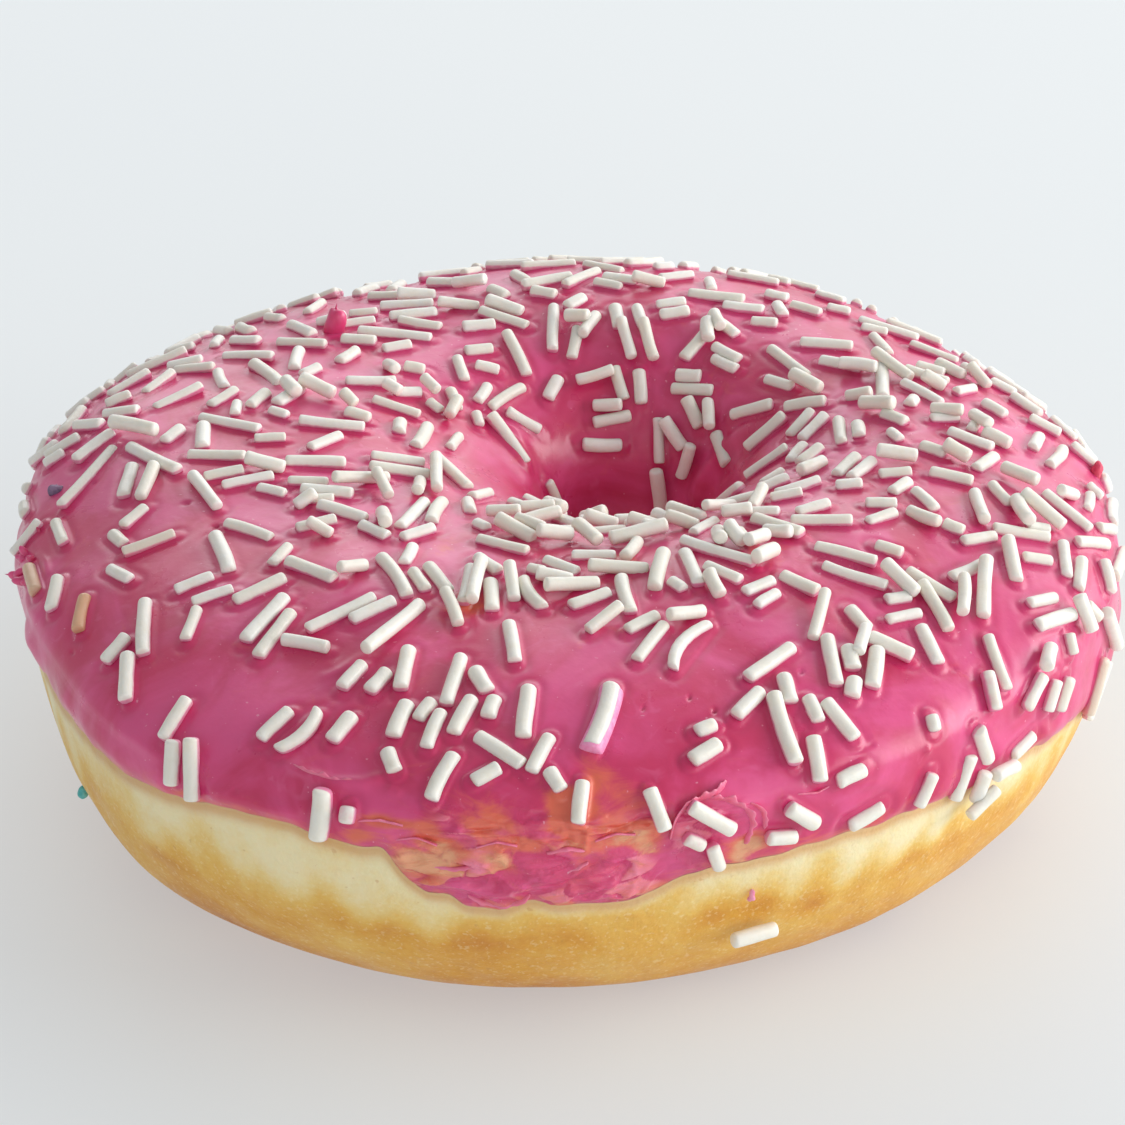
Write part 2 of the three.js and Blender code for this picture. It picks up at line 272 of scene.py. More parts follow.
# Sprinkles in sight, each from one end to the other: azimuth, girth, azimuth, girth.
FRONT_SPRINKLES = [
    (-16, .387, -16.4, .374), (38.2, .402, 35.7, .386), (59.4, .298, 57, .286), (59.3, .252, 58, .236),
    (61.6, .246, 60.2, .230), (51.2, .2195, 48.3, .221), (47.2, .223, 46.2, .208), (48.1, .212, 44.8, .204),
    (71.8, .226, 70, .195), (74.5, .215, 71, .187), (39.7, .239, 38.2, .224), (-56, .395, -54.8, .415),
    (-52, .396, -50.2, .416), (-50.5, .392, -47.9, .373), (-47.8, .4125, -46.3, .441),
    (-41.4, .3935, -43, .430), (-38.4, .388, -40.1, .423), (-37.2, .4045, -31.9, .410),
    (-62.8, .435, -54.3, .426), (-64.6, .446, -57, .4595), (-50.5, .4465, -52.1, .461),
    (-74.4, .389, -76.2, .404), (-73.7, .380, -71, .384), (-68.7, .383, -67.6, .414),
    (-67, .369, -63.4, .376), (-71.2, .327, -67.5, .309), (-65, .341, -61.4, .322), (-78, .295, -73, .297),
    (-48.4, .4525, -40.2, .457), (-39.5, .4615, -38.3, .475), (-35.8, .418, -32.5, .455),
    (-31.9, .435, -29.4, .4565), (-26.3, .4125, -25.5, .460), (-37.7, .4875, -28.4, .465),
    (-36.3, .5075, -34.2, .4935), (-31, .4865, -26.8, .475), (-29.9, .4975, -23.6, .479),
    (-22.7, .4705, -18.6, .453), (-23.4, .505, -20.1, .4725), (-21.5, .506, -18.2, .4695),
    (-24, .515, -18.8, .5075), (-18.4, .497, -15.3, .4705), (-16.5, .5075, -13, .4835),
    (-13.2, .5035, -8.1, .478), (-11.5, .457, -8.6, .4275), (-27.8, .533, -17, .531),
    (-33.5, .551, -30.6, .549), (-27.8, .5515, -18.5, .5475), (-16, .5445, -10, .5525),
    (-11.5, .5235, -5, .514), (-13.6, .5145, -11, .513), (-11, .507, -5.5, .507), (-8.1, .4915, -.6, .503),
    (-55.6, .477, -54, .500), (-53.6, .481, -50.4, .487), (-59.9, .5015, -51.2, .5115),
    (-49, .507, -43.3, .5085), (-50.5, .5215, -45, .512), (-44.2, .520, -50, .5485),
    (-40.2, .5125, -38.8, .5285), (-41.5, .536, -48, .558), (-40.4, .5645, -46, .5745),
    (-6.6, .530, 1.4, .530), (-2.1, .5135, 8.2, .5125), (6.3, .543, 4.1, .5255), (0, .561, 7, .559),
    (8, .558, 13, .556), (3.9, .505, 5.9, .469), (-3.4, .479, 1.7, .492), (.2, .454, 4.1, .467),
    (5.8, .4525, 9.7, .463), (7.2, .4265, 10.8, .453), (11.9, .4545, 16.8, .460), (12, .4155, 17.3, .447),
    (9.8, .491, 11.8, .519), (16.2, .520, 17.2, .4865), (12.9, .495, 14.4, .485), (19.2, .4865, 20.2, .471),
    (16.8, .5325, 27.8, .4945), (25, .5345, 23.7, .5175), (27, .527, 27.8, .513), (29.5, .5295, 30, .515),
    (28.7, .5075, 33, .5125), (28.2, .4885, 32.6, .4975), (35.3, .5385, 40.4, .5075), (35, .522, 38, .5085),
    (32.1, .474, 35.4, .451), (24.6, .468, 29.4, .4715), (25.6, .4535, 29.1, .459),
    (31.3, .414, 35.7, .4405), (38.8, .426, 39.2, .407), (40.1, .4705, 46, .432), (41.4, .490, 47.5, .453),
    (47.8, .442, 48.7, .413), (45, .421, 48, .4155), (43, .4055, 47.4, .3985), (51.6, .4325, 53.5, .395),
    (50.8, .4155, 49.6, .375), (56.3, .399, 52.1, .3775), (56.3, .4085, 61.6, .4015),
    (61.4, .398, 55.1, .367), (46.2, .386, 45.3, .353), (53.3, .347, 51.8, .290),
    (64.3, .4425, 64.9, .4305), (63.3, .4235, 67.7, .4085), (67.9, .397, 63.6, .3715),
    (69.5, .411, 74, .372), (67.9, .378, 70.2, .3595), (74, .389, 75.5, .375), (77, .407, 73, .391),
    (82.3, .3855, 80.8, .338), (77.7, .403, 77, .3655), (74.6, .3565, 70.3, .3385),
    (76.8, .344, 80.6, .3125), (74.2, .333, 70, .3205), (77.2, .3075, 75, .280), (61.8, .3475, 65.4, .3345),
    (60.3, .3255, 66, .3075), (66.9, .316, 66.6, .278), (63.5, .2915, 63, .270), (69, .2995, 69.8, .2755),
    (71.5, .2685, 77, .220),
    # hole rim at the front, lying over each other
    (-21.5, .600, -12.5, .585), (-14.0, .606, -4.5, .612), (-10.0, .590, -1.5, .592),
    (-5.5, .572, 1.8, .578), (2.0, .600, 10.0, .598), (4.0, .582, 12.0, .575), (12.5, .607, 16.5, .590),
    (17.5, .600, 25.0, .575), (0.5, .548, 13.0, .553), (15.0, .572, 21.5, .560), (27.0, .575, 36.0, .578),
    (35.0, .592, 47.0, .578), (50.0, .565, 60.5, .548), (46.5, .560, 52.5, .548), (39.0, .560, 45.5, .568),
    (-19.0, .560, -12.0, .570), (-26.0, .575, -19.5, .590), (-24.5, .560, -17.0, .553),
    (-32.0, .590, -24.0, .600), (-35.0, .566, -28.0, .572), (-16.0, .624, -8.0, .618),
    (-3.0, .622, 4.0, .625), (6.0, .618, 12.0, .612), (20.0, .545, 26.5, .556), (29.0, .552, 35.0, .545),
    (-9.0, .560, -3.0, .545), (-30.0, .615, -22.0, .608), (52.0, .590, 60.0, .578),
    (58.0, .600, 66.0, .592), (64.0, .568, 72.0, .560),
]

SIDE_SPRINKLES = [
    (-85.2, .344, -94, .382), (-94, .354, -97.5, .378), (-92.3, .397, -82.3, .429),
    (-97.5, .3825, -93.5, .4135), (-84, .415, -78.7, .404), (-92, .420, -94.6, .4285),
    (-95, .4425, -88.5, .4445), (-86.3, .4375, -82.3, .470), (-78.6, .446, -78, .467),
    (-79, .4725, -76, .4935), (-75, .455, -74, .484), (-78.7, .438, -70, .4455), (-103.4, .366, -102, .392),
    (-103.1, .404, -107.8, .4265), (-102, .442, -106.3, .452), (-98, .440, -91.5, .479),
    (-88, .4795, -87.2, .498), (-98.2, .4855, -96.2, .497), (-101.5, .4865, -108, .4965),
    (-78.2, .4995, -74.3, .526), (-71.2, .4955, -68, .512), (-66, .5155, -65.4, .5445),
    (-64, .537, -56, .534), (-71, .5405, -64.7, .5715), (-62.5, .489, -62.3, .5005),
    (-77, .5865, -57, .5925), (-70.5, .580, -54.5, .565), (-61.5, .5625, -53, .5485),
    (-37, .583, -32, .572), (95.3, .5165, 92.3, .5045), (87.4, .514, 85.2, .5085), (95.5, .478, 97, .456),
    (94.5, .4455, 98.5, .435), (93.8, .435, 92.5, .417), (91.7, .465, 90, .4325), (84, .490, 83.3, .4715),
    (83.5, .470, 83.2, .4525), (76.2, .476, 77.7, .4455), (82.3, .4435, 87.3, .4305),
    (74.7, .4385, 69, .4215), (68.5, .4795, 66.3, .458), (62.6, .471, 62.6, .447),
    (54.3, .4875, 59.6, .479), (51, .464, 52.8, .4485), (66.5, .5285, 74.5, .5225), (70.5, .511, 74, .495),
    (75.5, .517, 78.3, .4945), (94, .5525, 83, .5505), (91, .5385, 86, .5375), (94.5, .3915, 98.5, .3795),
    (91.5, .3785, 97.5, .3565), (83.5, .3735, 86, .3575), (83.8, .4225, 82.5, .3975),
    (79, .4285, 76.5, .4115), (91.5, .3335, 91, .318),
    # beyond the hole
    (-118, .492, -115, .487), (-132, .510, -136, .517), (-123, .500, -128, .500),
    (-113.5, .518, -117.5, .542), (-124, .528, -120.5, .538), (-126, .538, -127, .548),
    (-107, .487, -103, .500), (-107.5, .500, -104.5, .517), (-102.5, .525, -100.5, .532),
    (-106, .542, -103.5, .572), (-113, .550, -116, .562), (-110, .553, -112, .543),
    (-97.5, .530, -95.5, .543), (-120, .560, -117, .572), (-113, .574, -111, .583),
    (-122.5, .578, -116, .592), (-115, .590, -108, .592), (-137, .555, -131, .575),
    (-139, .569, -142, .580), (-143, .606, -126, .610), (-133, .592, -125, .598), (-117, .607, -113, .614),
    (-144.5, .478, -147, .507), (-145, .465, -151, .480), (-137.5, .450, -141.5, .463),
    (-137, .433, -139, .447), (-151, .400, -153, .420), (-152, .430, -156, .442), (-153, .475, -158, .490),
    (-163.5, .465, -164, .485), (-160, .440, -163, .457), (-157, .505, -161.5, .535),
    (-159.5, .498, -163.5, .515), (-170, .520, -162.5, .573), (-169, .490, -172, .502),
    (-172, .553, -166.5, .585), (-178, .538, -172.5, .564), (-171, .540, -175, .547),
    (177, .528, 177, .553), (176.5, .556, 174.8, .592), (172, .528, 170.5, .553), (170.5, .556, 167, .592),
    (153.5, .545, 157, .584), (153.5, .528, 150.5, .541), (155, .522, 147, .538), (149.5, .562, 141, .568),
    (147.5, .577, 139.5, .580), (136, .540, 121, .548), (127.5, .575, 119.5, .568), (120, .561, 112, .552),
    (157.5, .605, 150, .601), (158, .620, 143, .612), (-179, .604, 179.5, .634), (-164, .614, -177, .609),
    (-167, .641, -177.5, .643), (172.5, .607, 172, .638), (132.5, .515, 126, .486),
    (124, .523, 117.5, .506), (146, .511, 142, .504), (146, .462, 143, .480), (167, .521, 162, .511),
    (166, .535, 160.5, .524), (-177, .510, -173, .521), (177, .470, 172, .477), (179, .483, 175, .493),
    (172, .487, 167, .479), (163, .655, 160, .694), (159.5, .703, 157, .735), (158, .655, 146.5, .675),
    (138, .672, 143, .702), (129, .652, 112, .668), (150, .630, 141, .650), (141, .625, 131.5, .646),
    (98, .563, 89, .585), (103, .572, 95, .596), (76, .640, 84, .600), (72, .580, 80, .568),
    (151.5, .560, 154, .540), (129, .440, 122.5, .456), (118, .520, 114, .502), (116.5, .487, 104.5, .510),
    (106, .535, 104.5, .520), (119, .485, 111, .474), (116.5, .447, 114.3, .431),
    (109.5, .463, 108.3, .449), (117, .425, 113.5, .414), (106.5, .440, 108.5, .420),
    (114, .405, 111, .398), (102.5, .487, 100.5, .494), (97.5, .476, 96.5, .455), (98, .441, 94.5, .434),
    (109, .376, 106, .359), (99, .530, 96, .511),
]

# Sprinkles strewn where nobody placed them one by one: azimuth from and to, girth
# from and to, how many, and whether they may lie on top of others.
STREWN = [
    (100, 262, .385, .500, 42, False), (100, 262, .500, .590, 24, False), (98, 265, .262, .385, 84, False),
    (95, 265, .590, .660, 8, False), (60, 300, .660, .745, 4, False), (-60, 60, .640, .745, 12, False),
    (-70, 75, .555, .610, 12, False), (60, 100, .500, .600, 20, False), (-105, -62, .480, .605, 24, False),
    (-100, -80, .270, .380, 5, False), (80, 100, .270, .350, 5, False), (-62, 62, .465, .560, 16, False),
    (-108, -62, .380, .480, 8, False), (62, 108, .390, .500, 10, False),
]
STREWN_TRIES = 6            # tries for each sprinkle wanted
STREWN_LENGTHS = (1.6, 5.2)
STREWN_GIRTH_LENGTH = 98.0  # millimetres round the section for each 1 of girth, near enough
HIGHEST_STREWN_GIRTH = 0.775
LEAST_RADIUS = 6.0
STREWN_OVERLAP = 0.05       # how far sprinkles may run into one another, in millimetres
PLACED_OVERLAP = 0.12

SPRINKLE_RADIUS = 0.62      # of the sprinkles that are CAD nodes
LOOSE_RADIUS = 0.55         # of the others
SPRINKLE_TIP = 0.25
SPRINKLE_RISE = 0.22

# Heights to which a sprinkle's two ends are lifted in turn, to lie over others in its way.
STACK_STEPS = [
    (0, 0), (.25, .25), (0, .55), (.55, 0), (.5, .5), (.95, .1), (.1, .95), (.85, .85), (1.1, .5), (.5, 1.1),
]
WORST_OVERLAP = 0.55
AXIS_SAMPLES = 9
FAR_APART = 9.0             # sprinkles further apart than this don't meet

# What sets single sprinkles apart. Some took up colour from the fat (amber) or from the icing (stain).
BARE_ROD = "sprinkle_58"    # on the bare dough
COATED_ROD = "sprinkle_29"
CAD_BENDS = {"sprinkle_08": 0.40, "sprinkle_13": 0.1, "sprinkle_29": 0.1}
CAD_RADII = {"sprinkle_13": 0.80, "sprinkle_29": 0.76, "sprinkle_06": 0.64}
CAD_STAINS = {
    "sprinkle_13": 0.30, "sprinkle_14": 0.50, "sprinkle_17": 0.15, "sprinkle_28": 0.22, "sprinkle_29": 0.20,
    "sprinkle_30": 0.10, "sprinkle_33": 0.25, "sprinkle_34": 0.42, "sprinkle_35": 0.25, "sprinkle_52": 0.45,
}
# The next two by a sprinkle's first end.
AMBER_RODS = {(-65, .341): 1.0, (-78, .295): 0.8, (-68.7, .383): 0.2, (71.8, .226): 0.35}
BENT_RODS = {(12, .4155): -0.38, (-13.2, .5035): 0.20}

AZIMUTH_NET = np.arange(-180.0, 180.0, 2.0)
GIRTH_NET = np.linspace(0.02, 0.98, 97)
NET_POINTS = ring_point(AZIMUTH_NET[None, :], GIRTH_NET[:, None])

rods = []      # each sprinkle: start, end, radius, normal, bend, stain, name, lifted and maybe amber
laid_points = np.zeros((0, 3))
laid_radii = np.zeros(0)


def place_of(azimuth, girth, rise):
    """A point standing off the icing by a height along the ring's normal."""
    point = ring_point(azimuth, girth)
    return point + ring_normal(azimuth, girth) * (rise - tuck(point))


def cad_axis(node):
    """Both ends of a CAD sprinkle's axis."""
    vertices = np.array([v.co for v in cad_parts[node].data.vertices]) / MM
    middle = vertices.mean(0)
    _, _, axes = np.linalg.svd(vertices - middle, full_matrices=False)
    along = (vertices - middle) @ axes[0]
    return middle + axes[0] * along.min(), middle + axes[0] * along.max()


def nearest_normal(point):
    """Outward direction of the ring at the place nearest a point."""
    index = np.argmin(((NET_POINTS - point) ** 2).sum(-1))
    row, column = np.unravel_index(index, NET_POINTS.shape[:2])
    return ring_normal(AZIMUTH_NET[column], GIRTH_NET[row])


def samples_of(start, end):
    return start + (end - start) * np.linspace(0.0, 1.0, AXIS_SAMPLES)[:, None]


def clearance(start, end, radius):
    """Gap between a new rod and its nearest neighbour, less than 0 where they overlap."""
    points = samples_of(start, end)
    near = np.abs(laid_points - points.mean(0)).max(1) < FAR_APART
    if not near.any():
        return FAR_APART
    apart = np.linalg.norm(points[:, None] - laid_points[near][None], axis=-1)
    return (apart - laid_radii[near][None] - radius).min()


def lay(start, end, radius, normal, bend, stain, name, lifted):
    global laid_points, laid_radii
    rods.append(dict(start=start, end=end, radius=radius, normal=normal, bend=bend, stain=stain, name=name,
                     lifted=lifted))
    laid_points = np.concatenate([laid_points, samples_of(start, end)])
    laid_radii = np.concatenate([laid_radii, np.full(AXIS_SAMPLES, radius)])


def try_rod(azimuth_a, girth_a, azimuth_b, girth_b, radius, bend, stain, group, stacked, tight):
    """Lays a sprinkle on the icing, or over others that are in its way."""
    ends = np.array([azimuth_a, azimuth_b]), np.array([girth_a, girth_b])
    on_ring = ring_point(*ends)
    normals = ring_normal(*ends)
    middle_azimuth, middle_girth = (azimuth_a + azimuth_b) / 2.0, (girth_a + girth_b) / 2.0
    if abs(azimuth_a - azimuth_b) > 180.0:
        middle_azimuth += 180.0
    middle = ring_point(middle_azimuth, middle_girth)
    normal = ring_normal(middle_azimuth, middle_girth)
    sag = float((middle - on_ring.mean(0)) @ normal)
    tip = unit(on_ring[1] - on_ring[0]) * SPRINKLE_TIP
    rise = SPRINKLE_RISE + max(sag, -0.3) * 0.8 + icing_wobble(middle)
    best = None
    for step_a, step_b in STACK_STEPS if stacked else STACK_STEPS[:1]:
        start = on_ring[0] + normals[0] * (rise + step_a) - tip
        end = on_ring[1] + normals[1] * (rise + step_b) + tip
        gap = clearance(start, end, radius)
        if best is None or gap > best[0] or gap > -tight:
            best = gap, start, end, step_a + step_b
        if gap > -tight:
            break
    gap, start, end, lifted = best
    if gap < -tight and not (stacked and gap > -WORST_OVERLAP):
        return False
    lay(start, end, radius, normal, bend, stain, group, lifted)
    return True


random = np.random.default_rng(20)
cad_names = sorted(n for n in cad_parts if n.startswith("sprinkle_"))
for node in cad_names:
    start, end = cad_axis(node)
    if node == BARE_ROD:
        left, right = (start, end) if start[0] < end[0] else (end, start)
        start, end = left + np.array([0.15, 0.0, -0.25]), right + np.array([-0.15, 0.0, 0.30])
    normal = nearest_normal((start + end) / 2.0)
    inward = normal * tuck((start + end) / 2.0)
    radius = CAD_RADII.get(node, SPRINKLE_RADIUS * random.uniform(0.94, 1.08))
    bend = CAD_BENDS.get(node, random.normal(0.0, 0.03))
    lay(start - inward, end - inward, radius, normal, bend, CAD_STAINS.get(node, 0.0), node,
        2.0 if node == BARE_ROD else 0.0)

for group, listed in (("sprinkles_front", FRONT_SPRINKLES), ("sprinkles_sides", SIDE_SPRINKLES)):
    for where in listed:
        radius = LOOSE_RADIUS * random.uniform(0.90, 1.14)
        bend = BENT_RODS.get(where[:2], random.normal(0.0, 0.05))
        stain = max(0.0, random.normal(-0.12, 0.16))
        if try_rod(*where, radius, bend, stain, group, True, PLACED_OVERLAP):
            rods[-1]["amber"] = AMBER_RODS.get(where[:2], 0.0)

for azimuth_from, azimuth_to, girth_from, girth_to, wanted, stacked in STREWN:
    made = 0
    for _ in range(wanted * STREWN_TRIES):
        azimuth, girth = random.uniform(azimuth_from, azimuth_to), random.uniform(girth_from, girth_to)
        heading, length = random.uniform(0.0, math.pi), random.uniform(*STREWN_LENGTHS)
        radius = LOOSE_RADIUS * random.uniform(0.90, 1.14)
        bend = random.normal(0.0, 0.06)
        stain = max(0.0, random.normal(-0.12, 0.18))
        per_degree = max(outline(np.array(girth))[0], LEAST_RADIUS) * math.pi / 180.0
        step_azimuth = math.cos(heading) * length / 2.0 / per_degree
        step_girth = math.sin(heading) * length / 2.0 / STREWN_GIRTH_LENGTH
        where = (azimuth - step_azimuth, girth - step_girth, azimuth + step_azimuth, girth + step_girth)
        if where[1] < girth_from - 0.01 or where[3] > HIGHEST_STREWN_GIRTH:
            continue
        made += try_rod(*where, radius, bend, stain, "sprinkles_strewn", stacked, STREWN_OVERLAP)
        if made == wanted:
            break

# ------------------------------------------------------------ mesh helpers


def mesh_object(name, points, faces, material, **attributes):
    """A smooth-shaded object from points in millimetres and arrays of faces."""
    mesh = bpy.data.meshes.new(name)
    sizes = np.concatenate([np.full(len(f), f.shape[1]) for f in faces])
    starts = np.concatenate([[0], np.cumsum(sizes)[:-1]])
    mesh.vertices.add(len(points))
    mesh.vertices.foreach_set("co", (points * MM).astype(np.float32).ravel())
    loops = np.concatenate([f.reshape(-1) for f in faces]).astype(np.int32)
    mesh.loops.add(len(loops))
    mesh.loops.foreach_set("vertex_index", loops)
    mesh.polygons.add(len(sizes))
    mesh.polygons.foreach_set("loop_start", starts.astype(np.int32))
    mesh.polygons.foreach_set("use_smooth", np.ones(len(sizes), bool))
    for key, values in attributes.items():
        layer = mesh.attributes.new(key, "FLOAT", "POINT")
        layer.data.foreach_set("value", values.astype(np.float32).ravel())
    mesh.update(calc_edges=True)
    mesh.validate()
    mesh.materials.append(material)
    return put_in_scene(name, mesh)


def put_in_scene(name, data):
    obj = bpy.data.objects.new(name, data)
    bpy.context.scene.collection.objects.link(obj)
    return obj


def closed_grid(rows, columns):
    """Faces of a grid that joins up both ways."""
    row, column = np.meshgrid(np.arange(rows), np.arange(columns), indexing="ij")
    next_row, next_column = (row + 1) % rows, (column + 1) % columns
    corners = [(row, column), (row, next_column), (next_row, next_column), (next_row, column)]
    return np.stack([(r * columns + c).ravel() for r, c in corners], -1)


def tube_faces(rows, sides):
    """Quads between the rings of points of a tube."""
    row, side = np.meshgrid(np.arange(rows - 1) * sides, np.arange(sides), indexing="ij")
    after = (side + 1) % sides
    corners = [row + side, row + after, row + sides + after, row + sides + side]
    return np.stack(corners, -1).reshape(-1, 4)


def end_fans(rows, sides):
    """Triangles from a tube's first and last rings to the two points that come after its rings."""
    side = np.arange(sides)
    after = (side + 1) % sides
    top, tip = (rows - 1) * sides, np.full(sides, rows * sides)
    last_fan = np.stack([top + side, top + after, tip + 1], -1)
    return np.concatenate([np.stack([after, side, tip], -1), last_fan])


def joined(parts):
    """One array of points and two of faces, from parts that each have such arrays."""
    starts = np.cumsum([0] + [len(part[0]) for part in parts])
    faces = [np.concatenate([part[kind] + start for part, start in zip(parts, starts)]) for kind in (1, 2)]
    return np.concatenate([part[0] for part in parts]), faces


def azimuth_columns(front_step, back_step, fine=0.0):
    """Azimuths round the ring, closer together at the front and again at the torn tongue."""
    places = [-180.0]
    while places[-1] < 180.0:
        off_front = abs(places[-1])
        share = smooth(off_front, 88.0, 118.0)
        tight = 1.0 - 0.5 * fine * (1.0 - smooth(off_front, 20.0, 30.0))
        places.append(places[-1] + float(front_step + (back_step - front_step) * share) * float(tight))
    places = np.array(places)
    return -180.0 + (places[:-1] + 180.0) * 360.0 / (places[-1] + 180.0)


def between(low, high, steps):
    return low + (high - low) * np.linspace(0.0, 1.0, steps)[:, None]


# ------------------------------------------------------------ dough

DOUGH_SET_BACK = 0.12
ICING_THICKNESS = 1.0


def dough_height(azimuth, girth, points):
    """Height of the dough's skin over the ring's outline, sunk where icing covers it."""
    covered = smooth((girth - icing_edge(azimuth)) * GIRTH_LENGTH, 0.3, 3.5)
    covered *= smooth((icing_inner_edge(azimuth) - girth) * GIRTH_LENGTH, 0.3, 3.5)
    skin = 0.10 * slow_wave(points) + 0.07 * dough_wave(points) + 0.028 * dough_ripple(points)
    calm = smooth(points[..., 2], 0.0, 5.0)
    return -DOUGH_SET_BACK + skin * (0.25 + 0.75 * calm) - ICING_THICKNESS * covered - tuck(points)


def dough_surface(azimuth, girth):
    points = ring_point(azimuth, girth)
    height = dough_height(azimuth, girth, points)
    moved = points + ring_normal(azimuth, girth) * height[..., None]
    moved[..., 2] = np.maximum(moved[..., 2], 0.0)
    return moved


columns = azimuth_columns(0.42, 0.7)
low_edge, high_edge = icing_edge(columns)[None], icing_inner_edge(columns)[None]
none = np.zeros_like(low_edge)
dough_girths = np.concatenate([
    between(none, low_edge + 0.012, 92),
    between(low_edge + 0.03, high_edge - 0.03, 30),
    between(high_edge - 0.012, none + 1.0, 52),
])
dough_points = dough_surface(np.broadcast_to(columns[None], dough_girths.shape), dough_girths)

# The resting face, arched a little between its inner and outer edges.
foot_shares = np.linspace(0.0, 1.0, 22)[1:-1, None, None]
foot = dough_points[-1] + (dough_points[0] - dough_points[-1]) * foot_shares
arch = np.sin(np.pi * foot_shares[..., 0])
foot[..., 2] += np.clip(0.35 * base_wave(foot) - 0.12, 0.0, 0.5) * arch ** 0.5
dough_points = np.concatenate([dough_points, foot])
dough_points[..., 2] -= dough_points[..., 2].min()
foot_girths = np.broadcast_to(1.0 + foot_shares[..., 0] * 0.2, foot.shape[:2])
all_girths = np.concatenate([dough_girths, foot_girths])
all_azimuths = np.broadcast_to(columns[None], all_girths.shape)

# Darker amber patches on the side: azimuth, girth, half their spans, strength.
AMBER_PATCHES = [
    (-19, .178, 4.5, .013, .60), (-8, .166, 5.0, .012, .60), (2, .170, 3.2, .012, .55),
    (16, .176, 2.8, .010, .60), (21.5, .176, 2.4, .010, .60), (28, .166, 4.0, .012, .55),
    (-30, .160, 5.0, .012, .40), (-42, .172, 4.0, .010, .38), (38, .172, 4.0, .010, .45),
    (47, .160, 4.0, .012, .45), (56, .168, 4.0, .010, .45), (66, .150, 5.0, .012, .50),
    (-58, .150, 6.0, .014, .35), (-72, .160, 5.0, .012, .35), (78, .158, 4.0, .010, .45),
    (95, .170, 6.0, .012, .5), (112, .176, 6.0, .012, .5), (130, .165, 7.0, .012, .5),
    (150, .175, 6.0, .013, .5), (170, .168, 6.0, .012, .5), (-170, .172, 6.0, .012, .5),
    (-150, .170, 7.0, .013, .5), (-128, .165, 6.0, .012, .5), (-105, .172, 6.0, .012, .5),
]


def zone(azimuth, girth, place):
    """1 in the middle of a zone given by azimuth, girth and half spans, falling away round it."""
    at, level, span, rise = place
    return np.exp(-(((azimuth - at) / span) ** 2 + ((girth - level) / rise) ** 2))


def browning(azimuth, girth, points):
    """How far the skin has browned: 0 on the pale band below the icing, 1 underneath."""
    ragged = 0.010 * dough_wave(points) + 0.004 * dough_ripple(points)
    fingers = ragged + 0.010 * dough_ripple(points * np.array([1.0, 1.0, 0.35]))
    right_side = 0.012 * smooth(azimuth, 20.0, 45.0) * (1.0 - smooth(azimuth, 80.0, 110.0))
    outer = 1.0 - smooth(girth + fingers + right_side, 0.165, 0.235)
    outer = outer * smooth(icing_edge(azimuth) - girth, 0.0, 0.014)
    inner = smooth(girth + 0.6 * ragged, 0.845, 0.91)
    golden = np.maximum(outer, inner)
    deep = np.maximum(1.0 - smooth(girth + ragged, 0.06, 0.16), smooth(girth + ragged, 0.90, 0.96))
    total = 0.54 * golden + 0.34 * deep + 0.05 * dough_wave(points + 9.0)
    for *place, strength in AMBER_PATCHES:
        total = total + 0.38 * strength * zone(azimuth, girth + 0.3 * ragged, place)
    return np.clip(total, 0.0, 1.0)


dough_brown = browning(all_azimuths, all_girths, dough_points)
# Painted shade: a brownish band painted on the dough just below the icing's edge, where the icing shades it.
dough_seam = bell((all_girths - low_edge) * GIRTH_LENGTH + 0.25, 0.50)

# ------------------------------------------------------------ icing

# Where the icing has torn thin over the dough, and where the dough shows bare: azimuth, girth,
# half their spans, strength.
THIN_ZONES = [
    (-11.5, 0.240, 6.0, 0.018, 1.00), (-4.5, 0.248, 6.0, 0.016, 0.85), (-6.5, 0.278, 4.5, 0.024, 0.90),
    (-16.0, 0.266, 3.5, 0.012, 0.85), (-11.0, 0.266, 3.0, 0.014, 0.8), (-1.5, 0.296, 3.5, 0.018, 0.55),
    (2.5, 0.285, 4.5, 0.044, 1.00), (7.0, 0.252, 4.0, 0.020, 1.00), (19.0, 0.225, 2.4, 0.012, 0.80),
    (-17.5, 0.247, 3.0, 0.008, 0.60), (-36.0, 0.238, 4.0, 0.006, 0.45), (45.0, 0.226, 2.5, 0.010, 0.40),
    (88.0, 0.232, 4.0, 0.010, 0.40), (136.0, 0.236, 5.0, 0.010, 0.50), (-144.0, 0.240, 5.0, 0.010, 0.50),
    (-19.0, 0.475, 4.0, 0.014, 0.40), (30.0, 0.500, 5.0, 0.016, 0.34), (-34.0, 0.520, 5.0, 0.016, 0.34),
    (2.0, 0.520, 6.0, 0.014, 0.34),
]
BARE_ZONES = [
    (-12.5, 0.238, 4.2, 0.011, 1.00), (-8.5, 0.229, 3.5, 0.007, 0.80), (-5.0, 0.240, 4.0, 0.006, 0.85),
    (6.8, 0.247, 2.8, 0.010, 0.85), (8.2, 0.238, 2.2, 0.006, 0.70), (19.0, 0.224, 1.9, 0.008, 0.95),
    (0.0, 0.246, 3.0, 0.006, 0.60), (4.0, 0.262, 2.0, 0.010, 0.50),
]

FLAKE_COUNT = 120
FLAKE_WIDTH, FLAKE_RISE = 2.3, 1.10      # typical size of a flake, in millimetres
DEGREE_LENGTH = 0.785                    # millimetres round the flank for each degree
flake_random = np.random.default_rng(42)
flake_places = flake_random.uniform((-17.0, 19.5), (17.0, 31.0), (FLAKE_COUNT, 2))
flake_levels = flake_random.uniform(-1.0, 1.0, FLAKE_COUNT)

